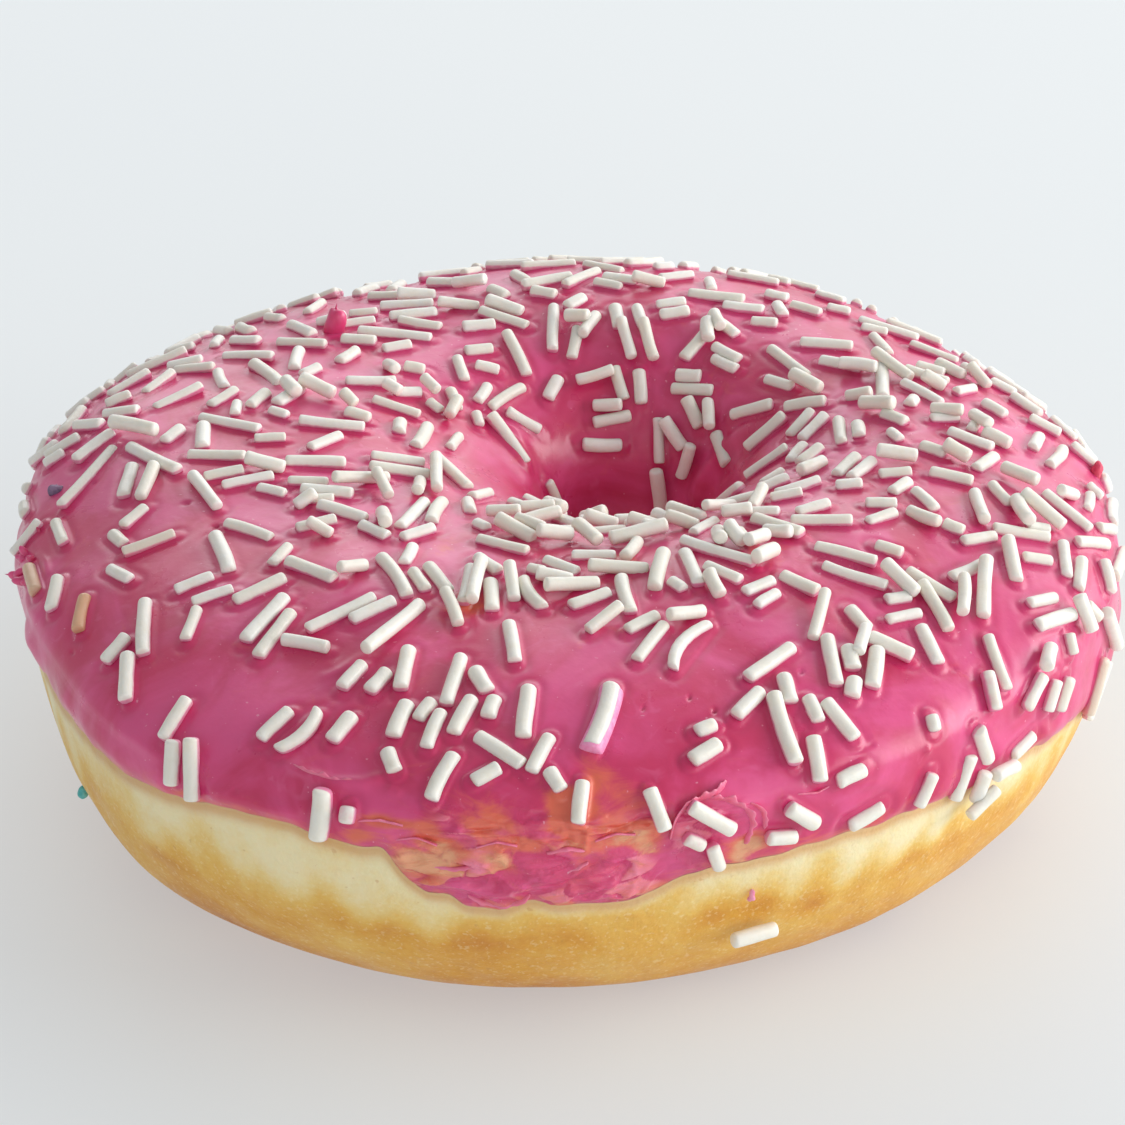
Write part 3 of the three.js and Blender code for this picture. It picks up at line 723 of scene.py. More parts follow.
# Ridges, creases and trails in the icing: width and height in millimetres, then places.
STROKES = [
    (0.55, 0.30, [(-28, .315), (-25, .309), (-22, .306), (-19, .312), (-16.5, .325)]),
    (0.45, 0.16, [(-30, .390), (-28.5, .400), (-27, .417)]),
    (0.40, -0.22, [(-8.5, .216), (-6, .210), (-4.2, .211), (-2.5, .217)]),
    (0.35, -0.20, [(-10.5, .226), (-8.0, .223), (-5.0, .2235)]),
    (0.45, 0.34, [(-12, .219), (-9, .2205), (-6, .2165), (-2.5, .2225)]),
    (0.40, 0.28, [(-13, .230), (-9.5, .228), (-6.5, .231)]),
    (0.45, 0.30, [(-3, .229), (0, .2265), (3.0, .231)]),
    (0.40, 0.26, [(0.5, .216), (3.2, .2195), (5.5, .217)]),
    (0.35, -0.22, [(0.3, .2225), (3.0, .2265), (5.2, .2235)]),
    (0.40, 0.32, [(12.0, .226), (13.2, .220), (15.2, .216), (17.0, .219)]),
    (0.60, 0.16, [(-48, .260), (-44, .268), (-40, .262)]),
    (0.60, 0.14, [(27, .246), (31, .252), (35, .247)]),
    (0.70, 0.15, [(58, .330), (62, .318), (64, .300)]),
    (0.60, 0.18, [(-76, .262), (-72, .270), (-69, .285)]),
    (0.45, 0.20, [(-80, .305), (-77, .318), (-74, .316)]),
    (0.70, 0.20, [(125, .300), (131, .312), (138, .306)]),
    (0.70, 0.18, [(-150, .320), (-143, .312), (-137, .318)]),
    (0.60, 0.20, [(160, .345), (166, .352), (172, .345)]),
    (1.00, 0.60, [(114, .622), (118, .650), (124, .686), (133, .722)]),
    (1.30, 0.45, [(-128, .628), (-112, .655), (-92, .680)]),
]

# Short creases and flake edges scattered over the torn tongue.
TEAR_COUNT = 45
tear_random = np.random.default_rng(41)
for _ in range(TEAR_COUNT):
    azimuth, heading = tear_random.uniform(-17.0, 10.0), tear_random.normal(0.0, 0.5)
    girth = 0.206 + 0.080 * tear_random.uniform(0.0, 1.0) ** 1.4
    half_length, curve = tear_random.uniform(0.5, 1.9), tear_random.normal(0.0, 0.004)
    across, up = half_length * math.cos(heading) * 1.25, half_length * math.sin(heading) / GIRTH_LENGTH
    path = [(azimuth - across, girth - up), (azimuth, girth + curve), (azimuth + across, girth + up)]
    sunk = tear_random.uniform() < 0.4
    crease = -tear_random.uniform(0.10, 0.24) if sunk else tear_random.uniform(0.12, 0.30)
    STROKES.append((tear_random.uniform(0.16, 0.30), crease, path))

# Pits (below) and bubbles (above) in the icing: azimuth, girth, radius, height.
SPOTS = [
    (16.3, .375, .20, -.34), (28.0, .390, .18, -.30), (13.5, .390, .16, -.28), (-74.0, .430, .24, -.34),
    (-66.0, .440, .22, -.32), (-38.0, .515, .20, -.28), (-16.2, .310, .42, .16), (-15.4, .306, .30, .12),
    (-45.0, .455, .20, -.26), (33.0, .300, .22, -.16), (47.0, .340, .20, -.20), (-60.0, .300, .22, -.18),
    (8.0, .385, .16, -.20), (-31.0, .262, .20, -.16), (100.0, .420, .22, -.26), (148.0, .380, .24, -.28),
    (-135.0, .360, .24, -.28), (176.0, .300, .22, -.24), (70.0, .250, .20, -.16), (-88.0, .370, .22, -.22),
    (-120.0, .300, .26, .14), (118.0, .280, .24, .14), (39.5, .262, .34, .30), (-12.0, .475, .18, -.22),
]


def zone_strength(zones, azimuth, girth, points):
    """0 away from the zones, up to 1 in the middle of a strong one."""
    total = np.zeros(points.shape[:-1])
    torn = 0.78 + 0.45 * thin_wave(points)
    for *place, strength in zones:
        total = np.maximum(total, strength * zone(azimuth, girth, place) * 1.25)
    return np.clip(total * np.clip(torn, 0.0, 1.4), 0.0, 1.0)


def flakes(azimuths, girths, points):
    """Level of the torn flake at each place, -1 to 1, and how near its border is, 0 to 1."""
    level, border = np.zeros(azimuths.shape), np.zeros(azimuths.shape)
    there = (np.abs(azimuths) < 24.0) & (girths < 0.33)
    points = points[there]
    across = azimuths[there] * DEGREE_LENGTH + 0.8 * ruffle_wave(points) + 0.30 * ruffle_ripple(points)
    up = girths[there] * GIRTH_LENGTH + 0.35 * ruffle_wave(points + 5.0) + 0.22 * ruffle_ripple(points + 5.0)
    first, second = np.full(across.shape, 99.0), np.full(across.shape, 99.0)
    nearest = np.zeros(across.shape)
    for place, flake_level in zip(flake_places, flake_levels):
        away = np.hypot((across - place[0]) / FLAKE_WIDTH, (up - place[1]) / FLAKE_RISE)
        second = np.minimum(second, np.maximum(away, first))
        nearest = np.where(away < first, flake_level, nearest)
        first = np.minimum(first, away)
    gap = second - first
    border[there] = 1.0 - smooth(gap, 0.02, 0.24)
    level[there] = nearest * smooth(gap, 0.0, 0.16)
    return level, border


def icing_rows(length=61.0):
    """Places from the outer edge to the inner one, 0 to 1, closer together at both edges."""
    places = [0.0]
    while places[-1] < length:
        at = places[-1]
        step = 0.09 + 0.05 * smooth(at, 0.3, 2.2) + 0.09 * smooth(at, 8.0, 11.0)
        step += 0.26 * smooth(at, 34.0, 44.0)
        step -= 0.30 * smooth(at, length - 3.0, length - 0.5)
        places.append(at + max(float(step), 0.10))
    return np.array(places) / places[-1]


def near(points, centre, reach):
    """Indices of the points within a cube about a place."""
    return np.nonzero((np.abs(points - centre) < reach).all(1))[0]


def away_from(points, start, end):
    """Distance of each point from a line between two places, and the share along it."""
    along = end - start
    share = np.clip(((points - start) @ along) / (along @ along), 0.0, 1.0)
    return np.linalg.norm(points - start - share[:, None] * along, axis=1), share


columns = azimuth_columns(0.34, 0.6, 1.0)
low_edge, high_edge = icing_edge(columns), icing_inner_edge(columns)
girths = low_edge[None] + (high_edge - low_edge)[None] * icing_rows()[:, None]
azimuths = np.broadcast_to(columns[None], girths.shape)
base = ring_point(azimuths, girths)
normals = ring_normal(azimuths, girths)
from_edge = (girths - low_edge[None]) * GIRTH_LENGTH
from_inner = (high_edge[None] - girths) * GIRTH_LENGTH

thin = zone_strength(THIN_ZONES, azimuths, girths, base)
bare = zone_strength(BARE_ZONES, azimuths, girths, base)
upper_limit = girths + 0.012 * thin_wave(base) + 0.010 * edge_wave(base)
lower_part = 1.0 - 0.55 * smooth(upper_limit, 0.222, 0.250) - 0.45 * smooth(upper_limit, 0.255, 0.310)
beside_tongue = smooth(azimuths, 10.0, 12.0) * (1.0 - smooth(azimuths, 18.0, 21.0))
torn = np.maximum(tongue(azimuths) * lower_part, beside_tongue * (1.0 - smooth(girths, 0.25, 0.29)) * 0.6)

ruffle = 0.12 * (1.0 - np.abs(ruffle_wave(base)) * 1.6) + 0.05 * ruffle_ripple(base)
flake_level, flake_border = flakes(azimuths, girths, base)
flaky = 0.17 * flake_level - 0.06 * flake_border + 0.05 * (1.0 - np.abs(flake_wave(base)) * 1.7)
height = icing_wobble(base) + torn * (ruffle + flaky) - 0.14 * thin - 0.22 * bare

flat_base = base.reshape(-1, 3)
flat_height = height.reshape(-1)
for width, rise, path in STROKES:
    stops = path_points(path)
    touched = np.full(len(flat_base), 99.0)
    ends = np.ones(len(flat_base))
    count = len(path) - 1
    for step in range(count):
        middle = (stops[step] + stops[step + 1]) / 2.0
        reach = np.linalg.norm(stops[step + 1] - stops[step]) / 2.0 + 3.0 * width
        index = near(flat_base, middle, reach)
        distance, share = away_from(flat_base[index], stops[step], stops[step + 1])
        closer = distance < touched[index]
        touched[index] = np.where(closer, distance, touched[index])
        ends[index] = np.where(closer, (step + share) / count, ends[index])
    taper = np.clip(4.0 * ends * (1.0 - ends), 0.0, 1.0) ** 0.5
    flat_height += rise * taper * bell(touched, width)

for azimuth, girth, radius, rise in SPOTS:
    centre = ring_point(azimuth, girth)
    index = near(flat_base, centre, 4.0 * radius)
    flat_height[index] += rise * bell(np.linalg.norm(flat_base[index] - centre, axis=1), radius)

# The icing wets the foot of each sprinkle, dips in a narrow moat and has a low rim beyond, and a deeper
# crimson is painted round the sprinkle as painted contact shade. Each of these is a function of the distance
# from the sprinkle's skin, in millimetres.
FILM_HEIGHT = 0.20
MOAT_DEPTH = 0.07
MOAT_PLACE = 0.22
RIM_HEIGHT = 0.02
BESIDE_REACH = 2.2
beside_sprinkles = {
    "film": lambda outside: bell(outside, 0.22),
    "moat": lambda outside: bell(np.maximum(outside - MOAT_PLACE, 0.0), 0.40),
    "rim": lambda outside: bell(outside - 1.00, 0.50),
    # how strongly the painted contact shade, a deeper crimson, is laid on round a sprinkle
    "painted_contact_shade": lambda outside: np.exp(-((outside / 0.65) ** 1.5)),
    "beside": lambda outside: bell(outside, 0.90),
}
flat_normals = normals.reshape(-1, 3)
effects = {key: np.zeros(len(flat_base)) for key in beside_sprinkles}
for rod in rods:
    middle = (rod["start"] + rod["end"]) / 2.0
    reach = np.linalg.norm(rod["end"] - rod["start"]) / 2.0 + rod["radius"] + BESIDE_REACH
    index = near(flat_base, middle, reach)
    skin_points = flat_base[index] + flat_normals[index] * flat_height[index, None]
    distance, _ = away_from(skin_points, rod["start"], rod["end"])
    outside = np.maximum(distance - rod["radius"], 0.0)
    for key, effect in beside_sprinkles.items():
        effects[key][index] = np.maximum(effects[key][index], effect(outside))
flat_height += RIM_HEIGHT * effects["rim"] * (1.0 - effects["moat"])
flat_height += FILM_HEIGHT * effects["film"] - MOAT_DEPTH * effects["moat"]
height = flat_height.reshape(girths.shape)


def rounded(distance, width):
    """Rises from 0 at an edge to 1 at a width from it, as a quarter circle does."""
    return np.sqrt(np.clip(1.0 - (1.0 - np.clip(distance / width, 0.0, 1.0)) ** 2, 0.0, 1.0))


edge_points = base[0][None]
lip_width = 1.0 + 0.28 * bead_wave(edge_points) + 0.35 * tongue(azimuths)
rounding = rounded(from_edge, lip_width) * rounded(from_inner, 1.1)
bead = (0.30 + 0.16 * bead_wave(edge_points)) * bell(from_edge - 1.1)
bead *= 1.0 - 0.85 * effects["beside"].reshape(girths.shape)
under = dough_height(azimuths, girths, base)
start_height = np.where(from_edge < 3.0, under[0][None], under[-1][None])
height = start_height + (height + bead - start_height) * rounding
height = np.maximum(height, under + 0.06 * rounding)
outer_points = base + normals * height[..., None]

inner_shares = np.linspace(1.0, 0.0, 34)[1:-1]
inner_girths = low_edge[None] + (high_edge - low_edge)[None] * inner_shares[:, None]
inner_points = dough_surface(np.broadcast_to(columns[None], inner_girths.shape), inner_girths)
icing_points = np.concatenate([outer_points, inner_points])
bare_or_torn = np.maximum(torn, 0.8 * bare)
glaze_values = dict(
    # one of these carries the painted contact shade round each sprinkle
    thin=thin, bare=bare, painted_contact_shade=effects["painted_contact_shade"].reshape(girths.shape), lip=bell(from_edge, 0.9),
    # crease carries painted shade, a darker crimson along the cracks between the torn flakes
    torn=bare_or_torn, flake=flake_level * bare_or_torn, crease=flake_border * bare_or_torn,
)
for key, values in glaze_values.items():
    glaze_values[key] = np.concatenate([values, np.zeros(inner_girths.shape)])

# ------------------------------------------------------------ materials


def tint(red, green, blue):
    """A colour given as 0 to 255, in the linear values that shaders take."""
    linear = []
    for value in (red / 255.0, green / 255.0, blue / 255.0):
        linear.append(value / 12.92 if value <= 0.04045 else ((value + 0.055) / 1.055) ** 2.4)
    return (*linear, 1.0)


class Nodes:
    """Builds a node material."""

    def __init__(self, name):
        self.material = bpy.data.materials.new(name)
        self.material.use_nodes = True
        self.tree = self.material.node_tree
        self.shader = self.tree.nodes["Principled BSDF"]
        self.coordinates = self.tree.nodes.new("ShaderNodeTexCoord").outputs["Object"]

    def feed(self, socket, value):
        """Links a node's output to a socket, or sets the socket's own value."""
        if isinstance(value, bpy.types.NodeSocket):
            self.tree.links.new(value, socket)
        else:
            socket.default_value = value

    def put(self, kind, inputs=None, **settings):
        """A new node, with its settings and then its inputs by name or number."""
        node = self.tree.nodes.new(kind)
        for key, value in settings.items():
            setattr(node, key, value)
        for key, value in (inputs or {}).items():
            self.feed(node.inputs[key], value)
        return node

    def set(self, **values):
        """Feeds the shader's inputs."""
        for key, value in values.items():
            self.feed(self.shader.inputs[key.replace("_", " ")], value)

    def noise(self, scale, detail=3.0, roughness=0.5, distortion=0.0, at=None):
        return self.put("ShaderNodeTexNoise", {
            "Scale": scale, "Detail": detail, "Roughness": roughness, "Distortion": distortion,
            "Vector": self.coordinates if at is None else at,
        }).outputs["Fac"]

    def stretched_noise(self, scale, detail, roughness, distortion, stretch):
        place = self.put("ShaderNodeMapping", {"Scale": stretch, "Vector": self.coordinates})
        return self.noise(scale, detail, roughness, distortion, place.outputs["Vector"])

    def attribute(self, name):
        return self.put("ShaderNodeAttribute", attribute_name=name).outputs["Fac"]

    def span(self, value, low, high, to_low=0.0, to_high=1.0):
        inputs = {"Value": value, "From Min": low, "From Max": high, "To Min": to_low, "To Max": to_high}
        node = self.put("ShaderNodeMapRange", inputs, clamp=True, interpolation_type="SMOOTHSTEP")
        return node.outputs["Result"]

    def math(self, operation, first, second):
        return self.put("ShaderNodeMath", {0: first, 1: second}, operation=operation).outputs[0]

    def times(self, first, second):
        return self.math("MULTIPLY", first, second)

    def plus(self, first, second):
        return self.math("ADD", first, second)

    def about_zero(self, value, amount):
        return self.times(self.math("SUBTRACT", value, 0.5), amount)

    def mix(self, share, first, second):
        return self.put("ShaderNodeMix", {0: share, 6: first, 7: second}, data_type="RGBA").outputs[2]

    def ramp(self, value, stops):
        node = self.put("ShaderNodeValToRGB", {"Fac": value})
        elements = node.color_ramp.elements
        while len(elements) < len(stops):
            elements.new(0.5)
        for element, (place, colour) in zip(elements, stops):
            element.position = place
            element.color = colour
        return node.outputs["Color"]

    def bump(self, height, strength, distance, after=None):
        inputs = {"Strength": strength, "Distance": distance, "Height": height}
        if after is not None:
            inputs["Normal"] = after
        return self.put("ShaderNodeBump", inputs).outputs["Normal"]


def icing_material():
    n = Nodes("icing_glaze")
    cloud = n.noise(95.0, 4.0, 0.6, 0.9)
    streak = n.noise(420.0, 2.0, 0.6, 1.2)
    colour = n.mix(n.span(cloud, 0.36, 0.66), tint(205, 45, 96), tint(225, 78, 136))
    colour = n.mix(n.span(streak, 0.60, 0.76, 0.0, 0.30), colour, tint(228, 108, 154))
    # Painted shade: a deep crimson painted round each sprinkle, where its contact shade falls.
    colour = n.mix(n.times(n.attribute("painted_contact_shade"), 0.65), colour, tint(196, 24, 90))
    torn = n.attribute("torn")
    smear = n.stretched_noise(340.0, 4.0, 0.66, 1.5, (0.60, 0.60, 1.4))
    smeared = n.times(n.span(smear, 0.40, 0.60), n.times(torn, 0.6))
    colour = n.mix(smeared, colour, tint(244, 88, 148))
    # Painted highlight and shade: raised flakes are painted paler and sunken flakes deeper crimson.
    flake = n.attribute("flake")
    colour = n.mix(n.span(flake, 0.10, 0.55, 0.0, 0.80), colour, tint(250, 142, 166))
    colour = n.mix(n.span(flake, -0.20, -0.60, 0.0, 0.40), colour, tint(216, 44, 98))
    broken = n.about_zero(smear, 1.3)
    layered = n.plus(broken, n.times(flake, 0.35))
    lip = n.times(n.attribute("lip"), 0.40)
    thin = n.plus(n.math("MAXIMUM", n.attribute("thin"), lip), layered)
    colour = n.mix(n.span(thin, 0.10, 0.75, 0.0, 0.95), colour, tint(228, 108, 78))
    bare = n.plus(n.attribute("bare"), layered)
    colour = n.mix(n.span(bare, 0.30, 0.90, 0.0, 0.85), colour, tint(236, 172, 128))
    # Painted shade: darker crimson along the cracks between the torn flakes.
    colour = n.mix(n.times(n.attribute("crease"), 0.38), colour, tint(194, 34, 78))
    speck = n.span(n.noise(2400.0, 1.0), 0.74, 0.80, 0.0, 0.5)
    colour = n.mix(speck, colour, tint(238, 170, 190))
    n.set(Base_Color=colour, Roughness=n.span(n.noise(200.0, 4.0, 0.65), 0.3, 0.7, 0.26, 0.46))
    n.set(Subsurface_Weight=0.18, Subsurface_Radius=(1.0, 0.25, 0.35), Subsurface_Scale=0.0012)
    n.set(Specular_IOR_Level=0.5, Coat_Weight=0.60, Coat_Roughness=0.36, IOR=1.45)
    fine = n.bump(n.noise(1500.0, 3.0, 0.6), 0.10, 0.00020)
    flaky = n.times(n.stretched_noise(900.0, 4.0, 0.65, 1.2, (0.7, 0.7, 1.4)), torn)
    fine = n.bump(flaky, 0.45, 0.0007, fine)
    n.set(Normal=n.bump(n.noise(330.0, 3.0, 0.5, 0.5), 0.12, 0.0005, fine))
    return n.material


def dough_material():
    n = Nodes("dough_skin")
    mottle = n.noise(260.0, 4.0, 0.62, 0.4)
    grain = n.noise(1500.0, 3.0, 0.7)
    baked = n.plus(n.attribute("brown"), n.about_zero(mottle, 0.36))
    baked = n.plus(baked, n.about_zero(grain, 0.22))
    colour = n.ramp(baked, [
        (0.00, tint(243, 228, 182)), (0.22, tint(238, 210, 140)), (0.42, tint(232, 187, 92)),
        (0.62, tint(222, 162, 62)), (0.82, tint(208, 138, 44)), (1.00, tint(180, 104, 30)),
    ])
    pale = n.span(n.noise(2600.0, 2.0, 0.5), 0.56, 0.70, 0.0, 0.32)
    colour = n.mix(pale, colour, tint(246, 226, 176))
    pore = n.span(n.noise(1150.0, 2.0, 0.5), 0.30, 0.24, 0.0, 0.35)
    colour = n.mix(pore, colour, tint(196, 140, 74))
    # Painted shade: the brownish band just below the icing's edge.
    colour = n.mix(n.times(n.attribute("seam"), 0.70), colour, tint(208, 146, 80))
    n.set(Base_Color=colour, Roughness=n.span(n.noise(420.0, 2.0), 0.3, 0.7, 0.42, 0.62))
    n.set(Subsurface_Weight=0.22, Subsurface_Radius=(1.0, 0.6, 0.25), Subsurface_Scale=0.0022)
    n.set(Specular_IOR_Level=0.38, Coat_Weight=0.10, Coat_Roughness=0.32)
    fine = n.bump(n.noise(2400.0, 3.0, 0.6), 0.35, 0.00022)
    n.set(Normal=n.bump(n.noise(640.0, 3.0, 0.6), 0.30, 0.0006, fine))
    return n.material


def sprinkle_material():
    n = Nodes("sugar_rod")
    island = n.put("ShaderNodeNewGeometry").outputs["Random Per Island"]
    colour = n.mix(n.span(island, 0.0, 1.0), tint(229, 225, 212), tint(239, 236, 226))
    blotch = n.span(n.noise(700.0, 3.0, 0.6), 0.45, 0.75, 0.0, 0.45)
    colour = n.mix(blotch, colour, tint(228, 221, 202))
    smear = n.plus(n.attribute("stain"), n.about_zero(n.noise(1300.0, 2.0), 0.5))
    colour = n.mix(n.span(smear, 0.35, 0.95, 0.0, 0.88), colour, tint(226, 112, 160))
    colour = n.mix(n.times(n.attribute("amber"), 0.85), colour, tint(206, 150, 106))
    n.set(Base_Color=colour, Roughness=n.span(n.noise(900.0, 2.0), 0.3, 0.7, 0.30, 0.50))
    n.set(Subsurface_Weight=0.45, Subsurface_Radius=(1.0, 0.9, 0.78), Subsurface_Scale=0.0012)
    n.set(Specular_IOR_Level=0.45, Coat_Weight=0.12, Coat_Roughness=0.2)
    n.set(Normal=n.bump(n.noise(1700.0, 3.0, 0.6), 0.25, 0.0002))
    return n.material


def crumb_material(name, colour, other):
    n = Nodes(name)
    mottle = n.noise(1400.0, 3.0, 0.6)
    n.set(Base_Color=n.mix(n.span(mottle, 0.35, 0.65), colour, other), Roughness=0.5)
    n.set(Subsurface_Weight=0.15, Subsurface_Radius=(1.0, 0.5, 0.5), Subsurface_Scale=0.0008)
    n.set(Normal=n.bump(mottle, 0.4, 0.0003))
    return n.material


def floor_material():
    n = Nodes("pale_floor")
    cloud = n.span(n.noise(6.0, 2.0), 0.3, 0.7)
    n.set(Base_Color=n.mix(cloud, tint(172, 176, 176), tint(175, 178, 177)), Roughness=0.6)
    n.set(Specular_IOR_Level=0.2, Emission_Color=(0.94, 0.97, 1.0, 1.0), Emission_Strength=0.40)
    return n.material


glaze = icing_material()
sugar = sprinkle_material()

# ------------------------------------------------------------ dough and icing

dough = mesh_object(
    "dough_ring", dough_points.reshape(-1, 3), [closed_grid(*all_girths.shape)], dough_material(),
    brown=dough_brown, seam=dough_seam,
)
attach(dough, "root")
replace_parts(dough, "dough")

icing = mesh_object(
    "icing_layer", icing_points.reshape(-1, 3), [closed_grid(*icing_points.shape[:2])], glaze,
    **glaze_values,
)
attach(icing, "root")
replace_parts(icing, "icing")

# ------------------------------------------------------------ sprinkles' meshes

CAP_SQUARENESS = 3.4
CAP_ANGLES = np.radians([18.0, 38.0, 56.0, 74.0])
CAP_POINT = 0.012           # how far the point of a cap stands out, as a share of the radius


def rod_mesh(rod, sides, body_rows, random):
    """Points, faces and stains of one sprinkle: a bent rod with rounded ends."""
    start, end, radius = rod["start"], rod["end"], rod["radius"]
    length = np.linalg.norm(end - start)
    along = (end - start) / length
    upward = unit(rod["normal"] - (rod["normal"] @ along) * along)
    sideways = np.cross(along, upward)
    cap = min(0.58 * radius * random.uniform(0.8, 1.3), length * 0.4)
    cap_along = cap * np.sin(CAP_ANGLES) ** (2.0 / CAP_SQUARENESS)
    cap_around = np.cos(CAP_ANGLES) ** (2.0 / CAP_SQUARENESS)
    places = np.concatenate([
        (cap - cap_along)[::-1], np.linspace(cap, length - cap, body_rows), length - cap + cap_along,
    ])
    around = np.concatenate([cap_around[::-1], np.ones(body_rows), cap_around])
    turn = np.arange(sides) * 2.0 * math.pi / sides
    share = places / length * 2.0 - 1.0
    bend = rod["bend"] * length * 0.35
    kink = random.normal(0.0, 0.008) * length
    middle_line = start + along * places[:, None]
    off_line = bend * (1.0 - share ** 2) + kink * share * (1 - share ** 2)
    middle_line = middle_line + sideways * off_line[:, None]
    swell_along = 1.0 + 0.022 * np.sin(share * random.uniform(2.0, 5.0) + random.uniform(0.0, 6.28))
    oval = 1.0 + random.uniform(-0.05, 0.05)
    lumps = 1.0 + 0.010 * np.sin(3.0 * turn[None] + share[:, None] * 4.0 + random.uniform(0.0, 6.28))
    size = radius * (around * swell_along)[:, None] * lumps
    ring = (
        middle_line[:, None]
        + sideways * (np.cos(turn)[None] * size * oval)[..., None]
        + upward * (np.sin(turn)[None] * size / oval)[..., None]
    )
    rows = len(places)
    first = middle_line[0] - along * (places[0] + CAP_POINT * radius)
    last = middle_line[-1] + along * (length - places[-1] + CAP_POINT * radius)
    points = np.concatenate([ring.reshape(-1, 3), [first, last]])
    up_share = np.append((np.sin(turn)[None] * around[:, None]).ravel(), [0.0, 0.0])
    contact = 0.40 - 0.9 * rod["lifted"]
    wetting = 0.80 if rod["lifted"] < 0.3 else 0.25 if rod["lifted"] < 2.0 else 0.0
    stain = smooth(contact - up_share, -0.12, 0.42) * wetting + rod["stain"]
    return points, tube_faces(rows, sides), end_fans(rows, sides), stain


def rods_object(name, rod_name, sides, body_rows):
    """One object of the sprinkles that go by a name."""
    shape_random = np.random.default_rng(sum(map(ord, name)))
    chosen = [rod for rod in rods if rod["name"] == rod_name]
    parts = [rod_mesh(rod, sides, body_rows, shape_random) for rod in chosen]
    ambers = [np.full(len(part[3]), rod.get("amber", 0.0)) for rod, part in zip(chosen, parts)]
    obj = mesh_object(
        name, *joined(parts), sugar,
        stain=np.concatenate([part[3] for part in parts]), amber=np.concatenate(ambers),
    )
    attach(obj, "root")
    return obj


for node in cad_names:
    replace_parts(rods_object(node.replace("sprinkle_", "sugar_rod_"), node, 20, 9), node)
for group in ("sprinkles_front", "sprinkles_sides", "sprinkles_strewn"):
    rods_object(group, group, 16, 7)

# ------------------------------------------------------------ crumbs, flecks, flaps and casing


def glaze_attributes(count, **values):
    """The attributes that the glaze reads, all 0 but those given."""
    return {key: np.full(count, values.get(key, 0.0)) for key in glaze_values}


def lump(name, centre, sizes, axis, material, seed, roughness, rings=18, sides=24):
    """A closed lumpy blob, longer along its axis."""
    wave = waves(seed, 1.6 * max(sizes))
    along = unit(np.array(axis, float))
    other = unit(np.cross(along, [0.3, 0.9, 0.2]))
    third = np.cross(along, other)
    polar = np.linspace(0.0, math.pi, rings + 2)[1:-1, None]
    turn = (np.arange(sides) * 2.0 * math.pi / sides)[None]
    points = (
        (np.sin(polar) * np.cos(turn) * sizes[0])[..., None] * other
        + (np.sin(polar) * np.sin(turn) * sizes[1])[..., None] * third
        + (np.cos(polar) * sizes[2] + 0.0 * turn)[..., None] * along
    )
    points = points * (1.0 + roughness * wave(points + seed))[..., None] + centre
    tips = [centre + along * sizes[2], centre - along * sizes[2]]
    points = np.concatenate([points.reshape(-1, 3), tips])
    # Turned over, so that they face outward.
    faces = [tube_faces(rings, sides)[:, [0, 3, 2, 1]], end_fans(rings, sides)[:, [1, 0, 2]]]
    attributes = glaze_attributes(len(points)) if material is glaze else {}
    obj = mesh_object(name, points, faces, material, **attributes)
    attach(obj, "root")
    return obj


peak_at = place_of(-136.0, 0.452, 0.9)
lump("icing_peak", peak_at, (0.95, 0.85, 1.9), (0.12, 0.1, 1.0), glaze, 31, 0.16)

# Crumbs: name, slot, place and rise off the ring, sizes, axis, seed, roughness and two colours.
CRUMBS = [
    ("red_crumb_right", "icing", (98.0, .302, 0.25), (0.55, 0.40, 0.75), (0.1, 0.5, 0.8), 32, 0.3,
     (200, 44, 84), (224, 84, 110)),
    ("teal_crumb_left", "sprinkle", (-62.0, .155, 0.05), (0.42, 0.3, 0.5), (0.2, 0.3, 0.9), 33, 0.25,
     (70, 170, 170), (120, 200, 196)),
    ("pink_crumb_front", "icing", (19.5, .190, 0.05), (0.28, 0.2, 0.42), (0.2, 0.1, 0.9), 34, 0.3,
     (226, 120, 160), (238, 160, 186)),
    ("grey_crumb_left", "icing", (-90.5, .334, 0.16), (0.75, 0.62, 0.55), (0.0, 0.1, 1.0), 35, 0.15,
     (112, 88, 120), (150, 120, 150)),
]
for name, slot, place, sizes, axis, seed, roughness, colour, other in CRUMBS:
    sugar_crumb = crumb_material(name.rsplit("_", 1)[0], tint(*colour), tint(*other))
    lump(name, place_of(*place), sizes, axis, sugar_crumb, seed, roughness)

# Torn flecks that stand up from the icing on the left flank: azimuth, girth, width, length, lean.
FLECKS = [
    (-80.5, .256, .55, 1.5, 0.05), (-80.0, .268, .65, 0.9, -0.20), (-82.0, .286, .50, 0.9, 0.35),
    (-79.5, .300, .45, 0.7, 0.0), (-84.0, .312, .40, 0.8, 0.25), (-79.0, .262, .60, 0.7, -0.3),
    (-82.5, .272, .70, 0.7, 0.10), (-77.5, .274, .40, 0.6, 0.20),
]
for number, (azimuth, girth, width, length, lean) in enumerate(FLECKS, 1):
    axis = ring_normal(azimuth, girth) + np.array([0.0, 0.2, lean])
    sizes = width, 0.6 * width, length
    lump(f"icing_fleck_{number}", place_of(azimuth, girth, 0.12 * length), sizes, axis, glaze,
         50 + number, 0.30, 14, 16)

